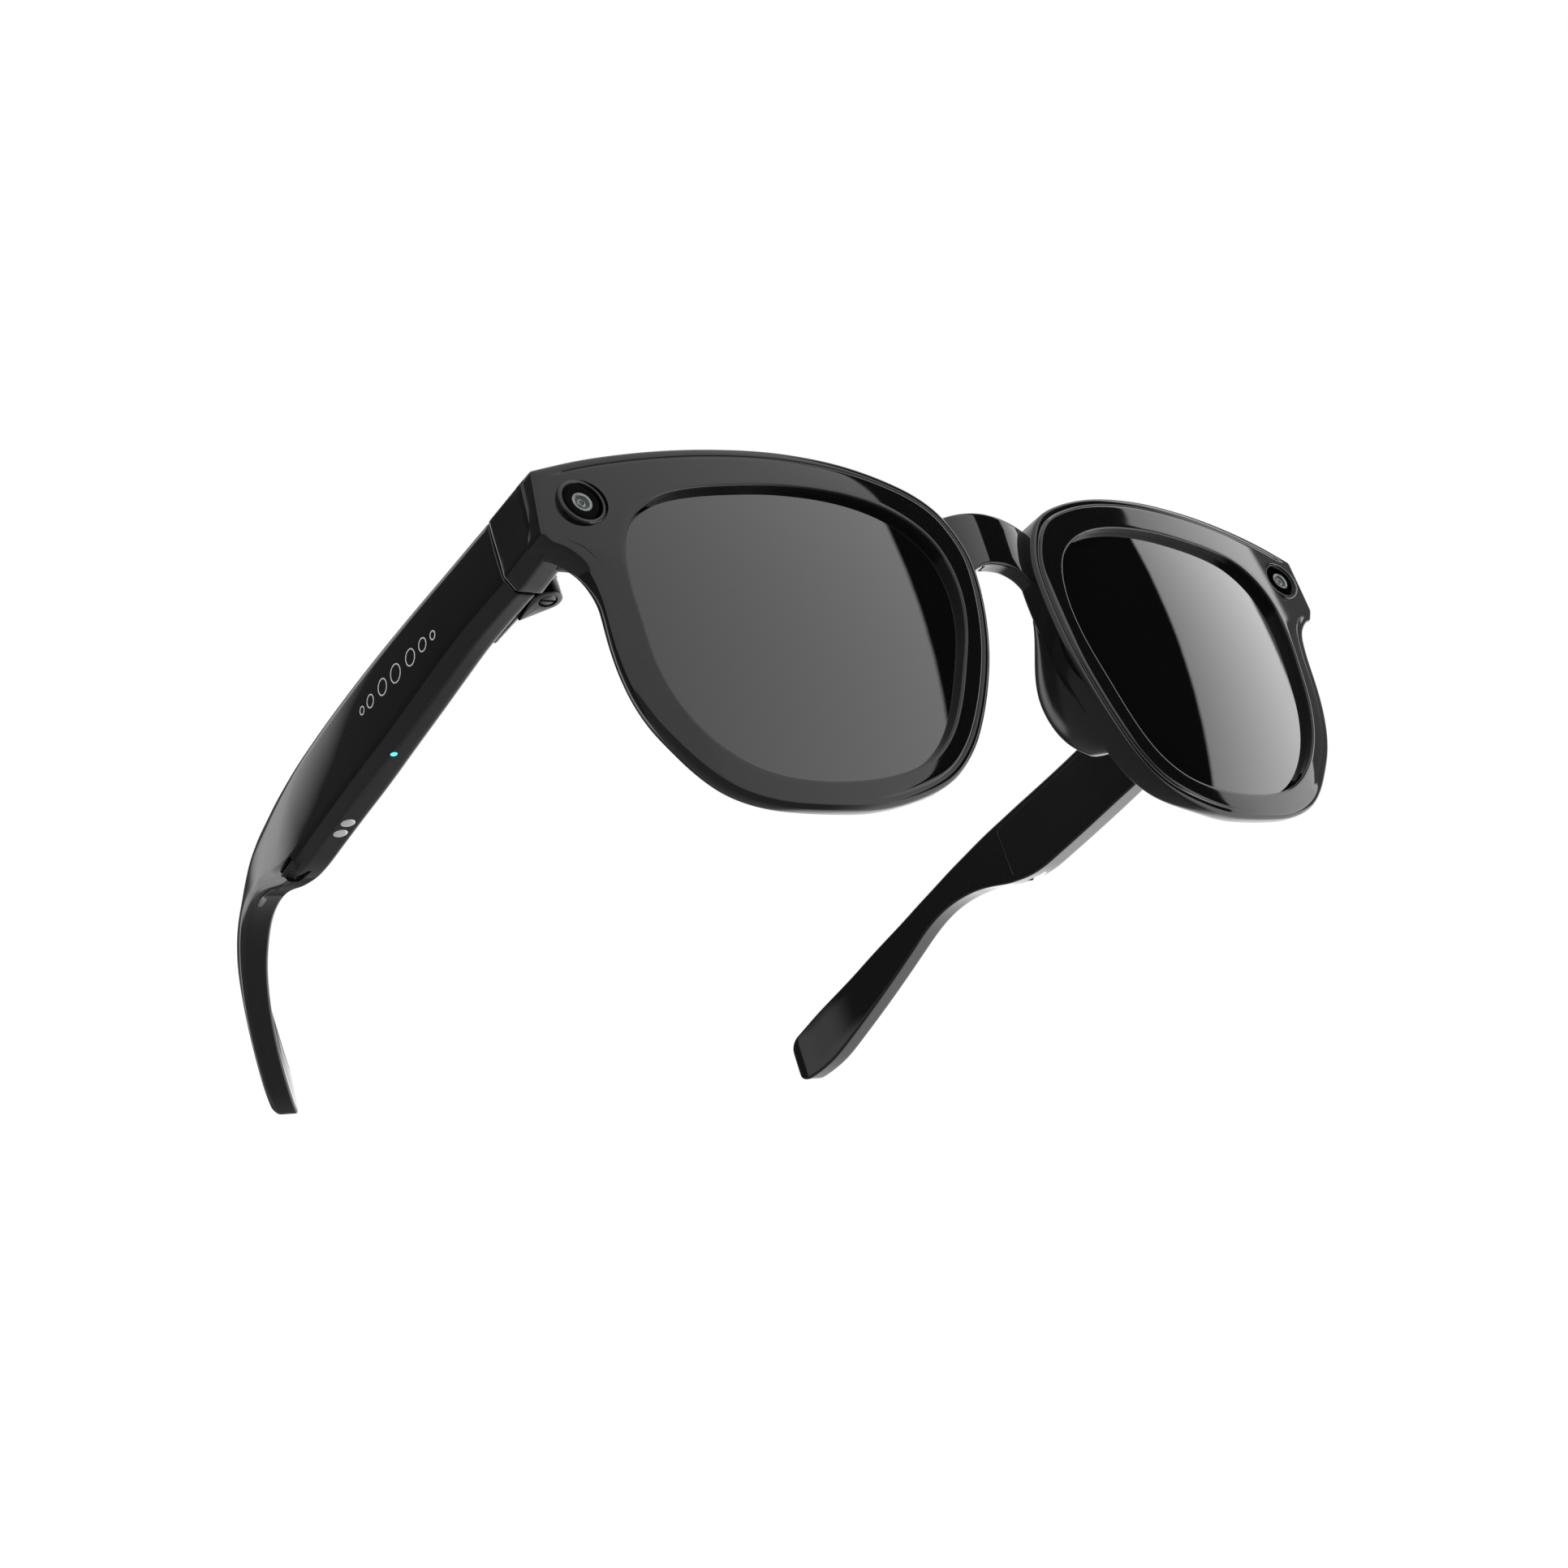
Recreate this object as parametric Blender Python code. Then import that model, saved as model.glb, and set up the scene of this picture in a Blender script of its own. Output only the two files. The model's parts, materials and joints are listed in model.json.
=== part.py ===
"""Camera glasses: a front with two lenses and two cameras, and two folding temples with electronics.

Everything is modelled with the temples level. The modelling frame has its origin at the middle of the
bridge's front face, +X to the wearer's left, +Y to the back and +Z up. The front has its own frame,
which is that frame leaned back about X by PANTOSCOPIC_TILT. The last step stands the whole on z = 0.
Side pieces are made for the left side (+X), and mirrored to the right.
"""

import math

import bmesh
import bpy
import numpy as np
from mathutils import Matrix, Vector

MM = 0.001
GAP = 0.3 * MM

# Front: overall size, curves and walls.
FRONT_WIDTH = 146 * MM
FRONT_HEIGHT = 54.7 * MM
FRONT_THICKNESS = 4.6 * MM
CURVE_RADIUS_X = 427 * MM
CURVE_RADIUS_Z = 277 * MM
PANTOSCOPIC_TILT = math.radians(6.7)
BRIDGE_SETBACK = 1.2 * MM

# Lenses: each edge sits in a groove that runs round its opening.
LENS_THICKNESS = 2.0 * MM
LENS_SETBACK = 1.3 * MM
LENS_SEAT_DEPTH = 0.7 * MM

# Cameras look straight ahead, level with the temples.
CAMERA_FROM_EDGE = 5.95 * MM
CAMERA_HEIGHT = 18.0 * MM
CAMERA_FACE_Y = 3.9 * MM
RECESS_MARGIN = 0.8 * MM
RECESS_DEPTH = 1.9 * MM
WINDOW_RADIUS = 3.0 * MM
WINDOW_THICKNESS = 0.7 * MM
BEZEL_WALL = 0.5 * MM
BEZEL_LENGTH = 3.0 * MM
BEZEL_PROUD = 0.1 * MM
MODULE_SIZE = 5.6 * MM
MODULE_FROM_FACE = 4.7 * MM
BARREL_MARGIN = 0.9 * MM
JOIN = 0.5 * MM

# End pieces: the corner box that holds a camera, and the arm that the temple butts against.
CORNER_BOX_INSET = 11.2 * MM
CORNER_BOX_FROM_FACE = 3.2 * MM
CORNER_BOX_BACK = 12.0 * MM
CORNER_BOX_DROP = 0.4 * MM
CORNER_WALL = 1.2 * MM
COVER_THICKNESS = 0.8 * MM
SEAM_Y = 17.0 * MM
SEAM_GAP = 0.4 * MM
ARM_INNER = 3.6 * MM

# Flex cable across the brow, in a channel behind a strip.
CHANNEL_HEIGHT = 2.4 * MM
CHANNEL_DEPTH = 1.9 * MM
FLEX_THICKNESS = 0.4 * MM
STRIP_THICKNESS = 0.5 * MM

# Hinges: two outer barrels on the temple's leaf, one middle barrel on the front's bracket, one screw.
HINGE_INSET = 6.2 * MM
HINGE_Y = 18.4 * MM
HINGE_BOTTOM = 12.2 * MM
HINGE_TOP = 21.8 * MM
BARREL_RADIUS = 2.1 * MM
MIDDLE_BARREL = 3.4 * MM
LEAF_THICKNESS = 0.9 * MM
LEAF_LENGTH = 9.0 * MM
BRACKET_LENGTH = 3.9 * MM
SCREW_RADIUS = 0.75 * MM
SCREW_HEAD_RADIUS = 1.25 * MM
SCREW_HEAD_HEIGHT = 0.8 * MM
SCREW_PLAY = 0.1 * MM
SCREW_SLOT_WIDTH = 0.4 * MM
SCREW_SLOT_DEPTH = 0.35 * MM

# Temples.
TEMPLE_LENGTH = 136.5 * MM
TEMPLE_TOP = 23.6 * MM
SHELL_WALL = 1.0 * MM
COVER_WALL = 0.8 * MM
POCKET_START = 0.11
BODY_SHARE = 0.56
LOWER_BEVEL_WIDTH = 1.3 * MM
LOWER_BEVEL_HEIGHT = 2.3 * MM
EDGE_BEVEL = 0.5 * MM
FACE_CROWN = 0.4 * MM
CORE_THICKNESS = 1.2 * MM
CORE_HEIGHT = 2.4 * MM
CORE_END = 0.95
CORE_FROM_POCKET = 0.005

# Pieces in and on the temples: places along a temple are distances behind the seam.
LED_FROM_SEAM = 36.9 * MM
LED_RADIUS = 0.55 * MM
CONTACT_FROM_SEAM = 57.2 * MM
CONTACT_PITCH = 3.0 * MM
CONTACT_RADIUS = 1.1 * MM
PIN_HEAD_HEIGHT = 0.6 * MM
SLOT_FROM_SEAM = 73.0 * MM
SLOT_LENGTH = 5.6 * MM
SLOT_WIDTH = 1.2 * MM
BOARD_FROM_SEAM = 23.0 * MM
BOARD_LENGTH = 20.0 * MM
BOARD_HEIGHT = 7.2 * MM
BOARD_THICKNESS = 0.6 * MM
SHIELD_SPANS = ((0.08, 0.42), (0.54, 0.84))
SHIELD_HEIGHT = 0.6 * MM
BATTERY_FROM_SEAM = 45.0 * MM
BATTERY_LENGTH = 21.0 * MM
BATTERY_HEIGHT = 8.6 * MM
BATTERY_THICKNESS = 2.2 * MM
SPEAKER_FROM_SEAM = 68.0 * MM
SPEAKER_LENGTH = 7.4 * MM
SPEAKER_HEIGHT = 5.0 * MM
SPEAKER_THICKNESS = 2.0 * MM
SPEAKER_END_ROOM = 1.0 * MM
TOUCH_FROM_SEAM = 16.5 * MM
TOUCH_LENGTH = 24.0 * MM
TOUCH_HEIGHT = 5.0 * MM
TOUCH_THICKNESS = 0.3 * MM
MICROPHONE_FROM_SEAM = 66.0 * MM
MICROPHONE_RADIUS = 0.45 * MM
BUTTON_FROM_SEAM = 23.0 * MM
BUTTON_LENGTH = 7.0 * MM
BUTTON_WIDTH = 1.5 * MM
BUTTON_PROUD = 0.15 * MM
BUTTON_FLANGE = 0.4 * MM

# The temple's body is as long as its electronics need. The ear stem takes the rest of its length.
BODY_LENGTH = SPEAKER_FROM_SEAM + SPEAKER_LENGTH + SPEAKER_END_ROOM

# Half outlines of the front, from top to bottom, as shares of half the front's width and height.
FRONT_HALF_OUTLINE = [
    (0.000, 0.760), (0.060, 0.742), (0.117, 0.702), (0.177, 0.800), (0.237, 0.870), (0.321, 0.943),
    (0.447, 0.985), (0.612, 0.998), (0.807, 0.945), (0.908, 0.903), (1.000, 0.838), (1.008, 0.468),
    (0.992, 0.398), (0.956, 0.362), (0.927, 0.290), (0.910, 0.100), (0.900, -0.250), (0.863, -0.535),
    (0.790, -0.777), (0.697, -0.937), (0.589, -0.990), (0.470, -1.000), (0.377, -0.955),
    (0.274, -0.800), (0.212, -0.655), (0.168, -0.490), (0.118, -0.168), (0.092, 0.183),
    (0.087, 0.300), (0.071, 0.420), (0.040, 0.468), (0.000, 0.480),
]
CORNER_POINTS = (10, 11, 12)
OPENING_OUTLINE = [
    (0.858, 0.120), (0.853, 0.420), (0.795, 0.665), (0.677, 0.753), (0.514, 0.797), (0.347, 0.772),
    (0.228, 0.680), (0.160, 0.480), (0.146, 0.220), (0.172, -0.110), (0.224, -0.446), (0.295, -0.700),
    (0.400, -0.830), (0.514, -0.859), (0.640, -0.840), (0.745, -0.700), (0.816, -0.468), (0.848, -0.190),
]
CHANNEL_HALF_PATH = [
    (0.000, 0.622), (0.116, 0.626), (0.178, 0.695), (0.247, 0.795), (0.342, 0.872), (0.479, 0.905),
    (0.616, 0.908), (0.740, 0.868), (0.822, 0.815), (0.885, 0.750),
]

# Temple lines, as (share of the length, distance): outer face beyond half the front's width, thickness,
# drop of the top line, depth of the bottom line below TEMPLE_TOP, and height of the upper bevel.
OUTER_SPREAD = [
    (0.0, 0.8), (0.095, 2.1), (0.2, 3.5), (0.34, 4.8), (0.425, 5.2), (0.505, 5.4), (0.615, 5.0),
    (0.674, 3.9), (0.72, 2.7), (0.757, 1.6), (0.806, -0.3), (0.864, -3.3), (0.93, -7.6), (1.0, -12.8),
]
THICKNESS = [(0.0, 4.5), (0.15, 4.7), (0.25, 4.9), (0.34, 5.3), (0.6, 5.3), (0.72, 5.0), (0.8, 4.7), (1.0, 4.9)]
TOP_DROP = [
    (0.0, 0.0), (0.5, 0.1), (0.6, 0.6), (0.66, 1.7), (0.725, 3.4), (0.79, 5.6), (0.845, 8.1),
    (0.905, 11.5), (0.947, 13.9), (0.977, 16.0), (1.0, 19.5),
]
BOTTOM_DEPTH = [
    (0.0, 11.7), (0.07, 11.7), (0.18, 13.1), (0.26, 13.6), (0.42, 14.1), (0.5, 14.2), (0.535, 13.7),
    (0.565, 12.6), (0.608, 10.6), (0.637, 9.3), (0.671, 8.6), (0.711, 8.7), (0.75, 10.1),
    (0.784, 12.2), (0.857, 17.6), (0.92, 22.6), (0.957, 25.4), (0.982, 26.4), (1.0, 25.4),
]
UPPER_BEVEL = [(0.0, 0.5), (0.42, 0.9), (0.5, 2.0), (0.6, 3.0), (0.7, 3.2), (0.75, 2.4), (1.0, 2.0)]
TEMPLE_STATIONS = (
    0.0, 0.05, 0.1, 0.18, 0.26, 0.34, 0.42, 0.48, 0.52, 0.56, 0.6, 0.635, 0.67, 0.71, 0.75, 0.79,
    0.83, 0.87, 0.91, 0.945, 0.97, 0.988, 1.0,
)
# Nose pads, as (share of half the front's height, reach behind the rim).
PAD_REACH = [(0.18, 0.7), (0.1, 2.2), (0.015, 3.9), (-0.09, 5.5), (-0.2, 6.8), (-0.32, 7.4), (-0.45, 6.9), (-0.54, 5.4), (-0.64, 2.4)]
PAD_STATIONS = 11
PAD_WIDTH = 3.0 * MM
PAD_FLARE = 0.06

HALF_WIDTH = FRONT_WIDTH / 2
HALF_HEIGHT = FRONT_HEIGHT / 2
HINGE_X = HALF_WIDTH - HINGE_INSET
CAMERA_X = HALF_WIDTH - CAMERA_FROM_EDGE
FRONT_TURN = Matrix.Rotation(PANTOSCOPIC_TILT, 4, "X")


# ---------------------------------------------------------------- helpers


def clear_scene():
    for obj in list(bpy.data.objects):
        bpy.data.objects.remove(obj)


def collection(name):
    made = bpy.data.collections.new(name)
    bpy.context.scene.collection.children.link(made)
    return made


def material(name, colour, roughness, metallic=0.0):
    made = bpy.data.materials.new(name)
    made.use_nodes = True
    shader = made.node_tree.nodes["Principled BSDF"]
    shader.inputs["Base Color"].default_value = (*colour, 1.0)
    shader.inputs["Roughness"].default_value = roughness
    shader.inputs["Metallic"].default_value = metallic
    return made


def curve_through(points, scale=1.0):
    """A smooth function through (position, value) points: cubic pieces with averaged end slopes."""
    at = np.array([p[0] for p in points], float)
    value = np.array([p[1] for p in points], float) * scale
    slope = np.gradient(value, at)

    def read(t):
        i = int(np.clip(np.searchsorted(at, t) - 1, 0, len(at) - 2))
        span = at[i + 1] - at[i]
        u = (t - at[i]) / span
        return (
            value[i] * (1 + 2 * u) * (1 - u) ** 2
            + value[i + 1] * u * u * (3 - 2 * u)
            + span * (slope[i] * u * (1 - u) ** 2 + slope[i + 1] * u * u * (u - 1))
        )

    return read


def new_object(name, bm, group):
    """An object from a bmesh, with its faces turned outwards."""
    bmesh.ops.recalc_face_normals(bm, faces=bm.faces)
    mesh = bpy.data.meshes.new(name)
    bm.to_mesh(mesh)
    bm.free()
    obj = bpy.data.objects.new(name, mesh)
    group.objects.link(obj)
    return obj


def as_cutter(obj):
    obj.hide_render = True
    obj.display_type = "WIRE"
    return obj


def combine(obj, other, operation):
    modifier = obj.modifiers.new(operation.title() + " " + other.name, "BOOLEAN")
    modifier.operation = operation
    modifier.object = other
    as_cutter(other)


def made_mesh(obj):
    """The mesh of an object with its modifiers and its own transform applied."""
    graph = bpy.context.evaluated_depsgraph_get()
    mesh = bpy.data.meshes.new_from_object(obj.evaluated_get(graph))
    mesh.transform(obj.matrix_world)
    return mesh


def settle(obj):
    """Applies an object's modifiers and transform to its mesh, and gives the object back."""
    bpy.context.view_layer.update()
    obj.data = made_mesh(obj)
    obj.modifiers.clear()
    obj.matrix_world = Matrix.Identity(4)
    return obj


def mirrored(obj, name, group):
    """A copy on the other side of the plane x = 0."""
    bm = bmesh.new()
    bm.from_mesh(obj.data)
    bmesh.ops.scale(bm, vec=(-1, 1, 1), verts=bm.verts)
    bmesh.ops.reverse_faces(bm, faces=bm.faces)
    mesh = bpy.data.meshes.new(name)
    bm.to_mesh(mesh)
    bm.free()
    twin = bpy.data.objects.new(name, mesh)
    group.objects.link(twin)
    return twin


def box(name, low, high, group, bevel=0.0):
    bm = bmesh.new()
    bmesh.ops.create_cube(bm, size=1.0)
    low = Vector(low)
    size = Vector(high) - low
    bmesh.ops.scale(bm, vec=size, verts=bm.verts)
    bmesh.ops.translate(bm, vec=low + size / 2, verts=bm.verts)
    if bevel:
        bmesh.ops.bevel(bm, geom=bm.edges[:], offset=bevel, segments=1, affect="EDGES")
    return new_object(name, bm, group)


def cylinder(name, start, end, radius, group, sides=24):
    """A closed cylinder from the start point to the end point."""
    start = Vector(start)
    along = Vector(end) - start
    bm = bmesh.new()
    bmesh.ops.create_cone(
        bm, cap_ends=True, segments=sides, radius1=radius, radius2=radius, depth=along.length
    )
    turn = along.to_track_quat("Z", "Y").to_matrix().to_4x4()
    bmesh.ops.transform(bm, matrix=Matrix.Translation(start + along / 2) @ turn, verts=bm.verts)
    return new_object(name, bm, group)


def loft(name, sections, group):
    """A closed solid through rings of points that all have the same number of corners."""
    bm = bmesh.new()
    rings = [[bm.verts.new(point) for point in section] for section in sections]
    for ring, following in zip(rings, rings[1:]):
        for i, corner in enumerate(ring):
            j = (i + 1) % len(ring)
            bm.faces.new((corner, ring[j], following[j], following[i]))
    bm.faces.new(rings[0])
    bm.faces.new(rings[-1])
    return new_object(name, bm, group)


def hull(name, points, group):
    """The solid that a stretched skin would make round the points."""
    bm = bmesh.new()
    for point in points:
        bm.verts.new(point)
    made = bmesh.ops.convex_hull(bm, input=bm.verts)
    unused = [v for v in made["geom_interior"] if isinstance(v, bmesh.types.BMVert)]
    bmesh.ops.delete(bm, geom=unused, context="VERTS")
    return new_object(name, bm, group)


def circle_points(x, y, z, radius, sides=24):
    """Points of a level circle."""
    turns = [2 * math.pi * i / sides for i in range(sides)]
    return [(x + radius * math.cos(a), y + radius * math.sin(a), z) for a in turns]


# ---------------------------------------------------------------- front


def in_front_frame(point):
    """A point of the front's own frame, in the modelling frame."""
    return FRONT_TURN @ Vector(point)


def face_y(x, z):
    """The front face's distance back: a shallow dish, set back between the rims at the bridge."""
    dish = x * x / (2 * CURVE_RADIUS_X) + z * z / (2 * CURVE_RADIUS_Z)
    edge = 0.118 * HALF_WIDTH
    fade = min(max((edge - abs(x)) / (0.4 * edge), 0.0), 1.0)
    return dish + BRIDGE_SETBACK * fade * fade * (3 - 2 * fade)


def outline_points(shares):
    return [(x * HALF_WIDTH, z * HALF_HEIGHT) for x, z in shares]


def outline_prism(name, loops, depth, offset, group):
    """A solid through the front, from closed outlines in its plane. Inner outlines become holes."""
    curve = bpy.data.curves.new(name, "CURVE")
    curve.dimensions = "2D"
    curve.fill_mode = "BOTH"
    curve.extrude = depth / 2
    curve.resolution_u = 3
    curve.offset = offset
    for points, corners in loops:
        spline = curve.splines.new("BEZIER")
        spline.use_cyclic_u = True
        spline.bezier_points.add(len(points) - 1)
        for i, (knot, (x, z)) in enumerate(zip(spline.bezier_points, points)):
            knot.co = (x, z, 0)
            kind = "VECTOR" if i in corners else "AUTO"
            knot.handle_left_type = kind
            knot.handle_right_type = kind
    guide = bpy.data.objects.new(name + "_curve", curve)
    group.objects.link(guide)
    guide.matrix_world = FRONT_TURN @ Matrix.Rotation(math.pi / 2, 4, "X")
    bpy.context.view_layer.update()
    mesh = made_mesh(guide)
    bpy.data.objects.remove(guide)
    bm = bmesh.new()
    bm.from_mesh(mesh)
    bmesh.ops.remove_doubles(bm, verts=bm.verts, dist=0.001 * MM)
    bmesh.ops.triangulate(bm, faces=bm.faces)
    return new_object(name, bm, group)


def dished_slab(name, xs, zs, setback, thickness, group):
    """A plate that follows the front face, from setback behind it to setback + thickness."""
    bm = bmesh.new()
    skins = []
    for depth in (setback, setback + thickness):
        skins.append(
            [[bm.verts.new(in_front_frame((x, face_y(x, z) + depth, z))) for z in zs] for x in xs]
        )
    near, far = skins
    last_x = len(xs) - 1
    last_z = len(zs) - 1
    for i in range(last_x):
        for j in range(last_z):
            bm.faces.new((near[i][j], near[i + 1][j], near[i + 1][j + 1], near[i][j + 1]))
            bm.faces.new((far[i][j], far[i][j + 1], far[i + 1][j + 1], far[i + 1][j]))
    for i in range(last_x):
        for j in (0, last_z):
            bm.faces.new((near[i][j], near[i + 1][j], far[i + 1][j], far[i][j]))
    for j in range(last_z):
        for i in (0, last_x):
            bm.faces.new((near[i][j], near[i][j + 1], far[i][j + 1], far[i][j]))
    return new_object(name, bm, group)


def front_outline_loop():
    """The whole outer outline, with the points that stay sharp corners."""
    half = outline_points(FRONT_HALF_OUTLINE)
    other = [(-x, z) for x, z in reversed(half[1:-1])]
    count = len(half) + len(other)
    corners = set(CORNER_POINTS) | {count - i for i in CORNER_POINTS}
    return half + other, corners


def opening_loop(side):
    return [(side * x, z) for x, z in outline_points(OPENING_OUTLINE)], ()


def slab_lines():
    """Where the slab's grid lines run: closer together beside the bridge, where its face steps back."""
    edge = 0.118 * HALF_WIDTH
    half = [0.0, 0.6 * edge, 0.8 * edge, edge] + [HALF_WIDTH * t for t in (0.2, 0.35, 0.5, 0.65, 0.8, 0.92, 1.06)]
    xs = [-x for x in reversed(half[1:])] + half
    zs = [HALF_HEIGHT * t for t in (-1.06, -0.75, -0.4, 0.0, 0.4, 0.75, 1.06)]
    return xs, zs


def arm_section(y):
    """The end piece's section at y: it meets the temple's front end at the seam."""
    share = (y - SEAM_Y) / SEAM_Y
    outer = HALF_WIDTH + (OUTER_SPREAD[0][1] + 1.2 * share) * MM
    inner = HALF_WIDTH - ARM_INNER
    bottom = TEMPLE_TOP - BOTTOM_DEPTH[0][1] * MM
    return [
        (inner, y, bottom),
        (outer - LOWER_BEVEL_WIDTH, y, bottom),
        (outer, y, bottom + LOWER_BEVEL_HEIGHT),
        (outer, y, TEMPLE_TOP - EDGE_BEVEL),
        (outer - EDGE_BEVEL, y, TEMPLE_TOP),
        (inner, y, TEMPLE_TOP),
    ]


def channel_ribbon(name, height, depth_low, depth_high, group, trim=0.0):
    """A band that follows the brow channel, between two depths behind the front face."""
    half = outline_points(CHANNEL_HALF_PATH)
    path = [(-x, z) for x, z in reversed(half[1:])] + half
    xs = np.array([p[0] for p in path])
    track = curve_through(path)
    stations = np.linspace(xs[0] + trim, xs[-1] - trim, 37)
    sections = []
    for x in stations:
        slope = (track(x + MM) - track(x - MM)) / (2 * MM)
        rise = height / 2 * math.sqrt(1 + slope * slope)
        z = track(x)
        ring = [(z - rise, depth_low), (z + rise, depth_low), (z + rise, depth_high), (z - rise, depth_high)]
        sections.append([in_front_frame((x, face_y(x, zz) + d, zz)) for zz, d in ring])
    return loft(name, sections, group)


def build_front(parts, cutters):
    xs, zs = slab_lines()
    front = dished_slab("front_frame", xs, zs, 0.0, FRONT_THICKNESS, parts)
    deep = 4 * FRONT_THICKNESS + HALF_WIDTH
    loops = [front_outline_loop(), opening_loop(1), opening_loop(-1)]
    combine(front, outline_prism("front_outline", loops, deep, 0.0, cutters), "INTERSECT")
    for side, tag in ((1, "left"), (-1, "right")):
        for piece in end_piece_solids(tag, side, cutters):
            combine(front, piece, "UNION")
    for side, tag in ((1, "left"), (-1, "right")):
        seat = lens_solid("seat_" + tag, side, LENS_SEAT_DEPTH + GAP, GAP, cutters)
        combine(front, seat, "DIFFERENCE")
        for piece in camera_cutters(tag, side, cutters):
            combine(front, piece, "DIFFERENCE")
    channel = channel_ribbon(
        "flex_channel", CHANNEL_HEIGHT, FRONT_THICKNESS - CHANNEL_DEPTH, FRONT_THICKNESS + MM, cutters
    )
    combine(front, channel, "DIFFERENCE")
    return settle(front)


def end_piece_solids(tag, side, cutters):
    """The arm and the corner box of one end piece, to be joined to the front."""
    bottom = TEMPLE_TOP - BOTTOM_DEPTH[0][1] * MM
    stations = (CAMERA_FACE_Y + CORNER_BOX_FROM_FACE + 0.2 * MM, SEAM_Y - SEAM_GAP)
    arm = loft("arm_" + tag, [arm_section(y) for y in stations], cutters)
    corner = box(
        "corner_" + tag,
        (HALF_WIDTH - CORNER_BOX_INSET, CAMERA_FACE_Y + CORNER_BOX_FROM_FACE, bottom - 0.2 * MM),
        (HALF_WIDTH - ARM_INNER + 0.9 * MM, CORNER_BOX_BACK, TEMPLE_TOP - CORNER_BOX_DROP),
        cutters,
        bevel=0.6 * MM,
    )
    for piece in (arm, corner):
        if side < 0:
            flip(piece)
    return arm, corner


def flip(obj):
    """Mirrors an object's mesh in the plane x = 0."""
    obj.data.transform(Matrix.Scale(-1, 4, (1, 0, 0)))
    obj.data.flip_normals()


def cavity_box():
    """Low and high corners of the space behind a left camera."""
    bottom = TEMPLE_TOP - BOTTOM_DEPTH[0][1] * MM
    front = CAMERA_FACE_Y + CORNER_BOX_FROM_FACE + 0.2 * MM
    low = (HALF_WIDTH - CORNER_BOX_INSET + CORNER_WALL, front, bottom + CORNER_WALL)
    high = (HALF_WIDTH - ARM_INNER - 0.2 * MM, CORNER_BOX_BACK, TEMPLE_TOP - CORNER_WALL - CORNER_BOX_DROP)
    return low, high


def camera_cutters(tag, side, cutters):
    """The dished recess, the bore for the bezel, and the space for the camera module."""
    x = CAMERA_X
    z = CAMERA_HEIGHT
    face = CAMERA_FACE_Y
    ring = WINDOW_RADIUS + BEZEL_WALL
    ends = ((x, face - FRONT_THICKNESS, z), (x, face + RECESS_DEPTH, z))
    recess = cylinder("recess_" + tag, *ends, ring + RECESS_MARGIN, cutters, 32)
    ends = ((x, face, z), (x, face + MODULE_FROM_FACE + JOIN + GAP, z))
    bore = cylinder("bore_" + tag, *ends, ring + GAP, cutters, 28)
    low, high = cavity_box()
    high = (high[0], high[1] + MM, high[2])
    cavity = box("cavity_" + tag, low, high, cutters)
    pieces = (recess, bore, cavity)
    for piece in pieces:
        if side < 0:
            flip(piece)
    return pieces


def lens_solid(name, side, grow, spare, group):
    """A plate inside one opening: grow past its edge, and spare thicker on each face."""
    xs = [side * HALF_WIDTH * t for t in (0.08, 0.2, 0.35, 0.5, 0.65, 0.8, 0.92)]
    zs = [HALF_HEIGHT * t for t in (-0.98, -0.6, -0.2, 0.2, 0.6, 0.92)]
    plate = dished_slab(name, xs, zs, LENS_SETBACK - spare, LENS_THICKNESS + 2 * spare, group)
    prism = outline_prism(name + "_outline", [opening_loop(side)], 2 * HALF_WIDTH, grow, group)
    combine(plate, prism, "INTERSECT")
    settle(plate)
    bpy.data.objects.remove(prism)
    return plate


def build_lens(parts, cutters):
    return lens_solid("lens_left", 1, LENS_SEAT_DEPTH, 0.0, parts)


def build_nose_pad(parts, cutters):
    """A fin on the nose side of the rim: it reaches straight back, with a soft outline."""
    reach = curve_through(PAD_REACH[::-1], MM)
    nose_edge = [(z * HALF_HEIGHT, x * HALF_WIDTH) for x, z in FRONT_HALF_OUTLINE[23:29]]
    edge_x = curve_through(nose_edge)
    clear = FRONT_THICKNESS + 1.5 * GAP
    sections = []
    for share in np.linspace(PAD_REACH[0][0], PAD_REACH[-1][0], PAD_STATIONS):
        z = share * HALF_HEIGHT
        back = reach(share)
        x = edge_x(z) + 0.3 * MM
        y = face_y(x, z) + clear
        outer_y = face_y(x + PAD_WIDTH, z) + clear
        lean = PAD_FLARE * back
        ring = [
            (x, y), (x + PAD_WIDTH, outer_y),
            (x + PAD_WIDTH + lean, outer_y + 0.75 * back), (x + 0.65 * PAD_WIDTH + lean, outer_y + back),
            (x + 0.2 * PAD_WIDTH + lean, y + 0.95 * back), (x + 0.4 * lean, y + 0.5 * back),
        ]
        sections.append([in_front_frame((px, py, z)) for px, py in ring])
    return loft("nose_pad_left", sections, parts)


def build_bezel(parts, cutters):
    x, z, face = CAMERA_X, CAMERA_HEIGHT, CAMERA_FACE_Y
    radius = WINDOW_RADIUS + BEZEL_WALL
    ends = ((x, face - BEZEL_PROUD, z), (x, face + BEZEL_LENGTH, z))
    ring = cylinder("camera_bezel_left", *ends, radius, parts, 28)
    ends = ((x, face - MM, z), (x, face + BEZEL_LENGTH + MM, z))
    hole = cylinder("bezel_hole", *ends, WINDOW_RADIUS, cutters, 28)
    combine(ring, hole, "DIFFERENCE")
    return settle(ring)


def build_window(parts, cutters):
    x, z, face = CAMERA_X, CAMERA_HEIGHT, CAMERA_FACE_Y
    ends = ((x, face + BEZEL_PROUD, z), (x, face + BEZEL_PROUD + WINDOW_THICKNESS, z))
    return cylinder("camera_window_left", *ends, WINDOW_RADIUS - GAP / 2, parts, 28)


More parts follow.
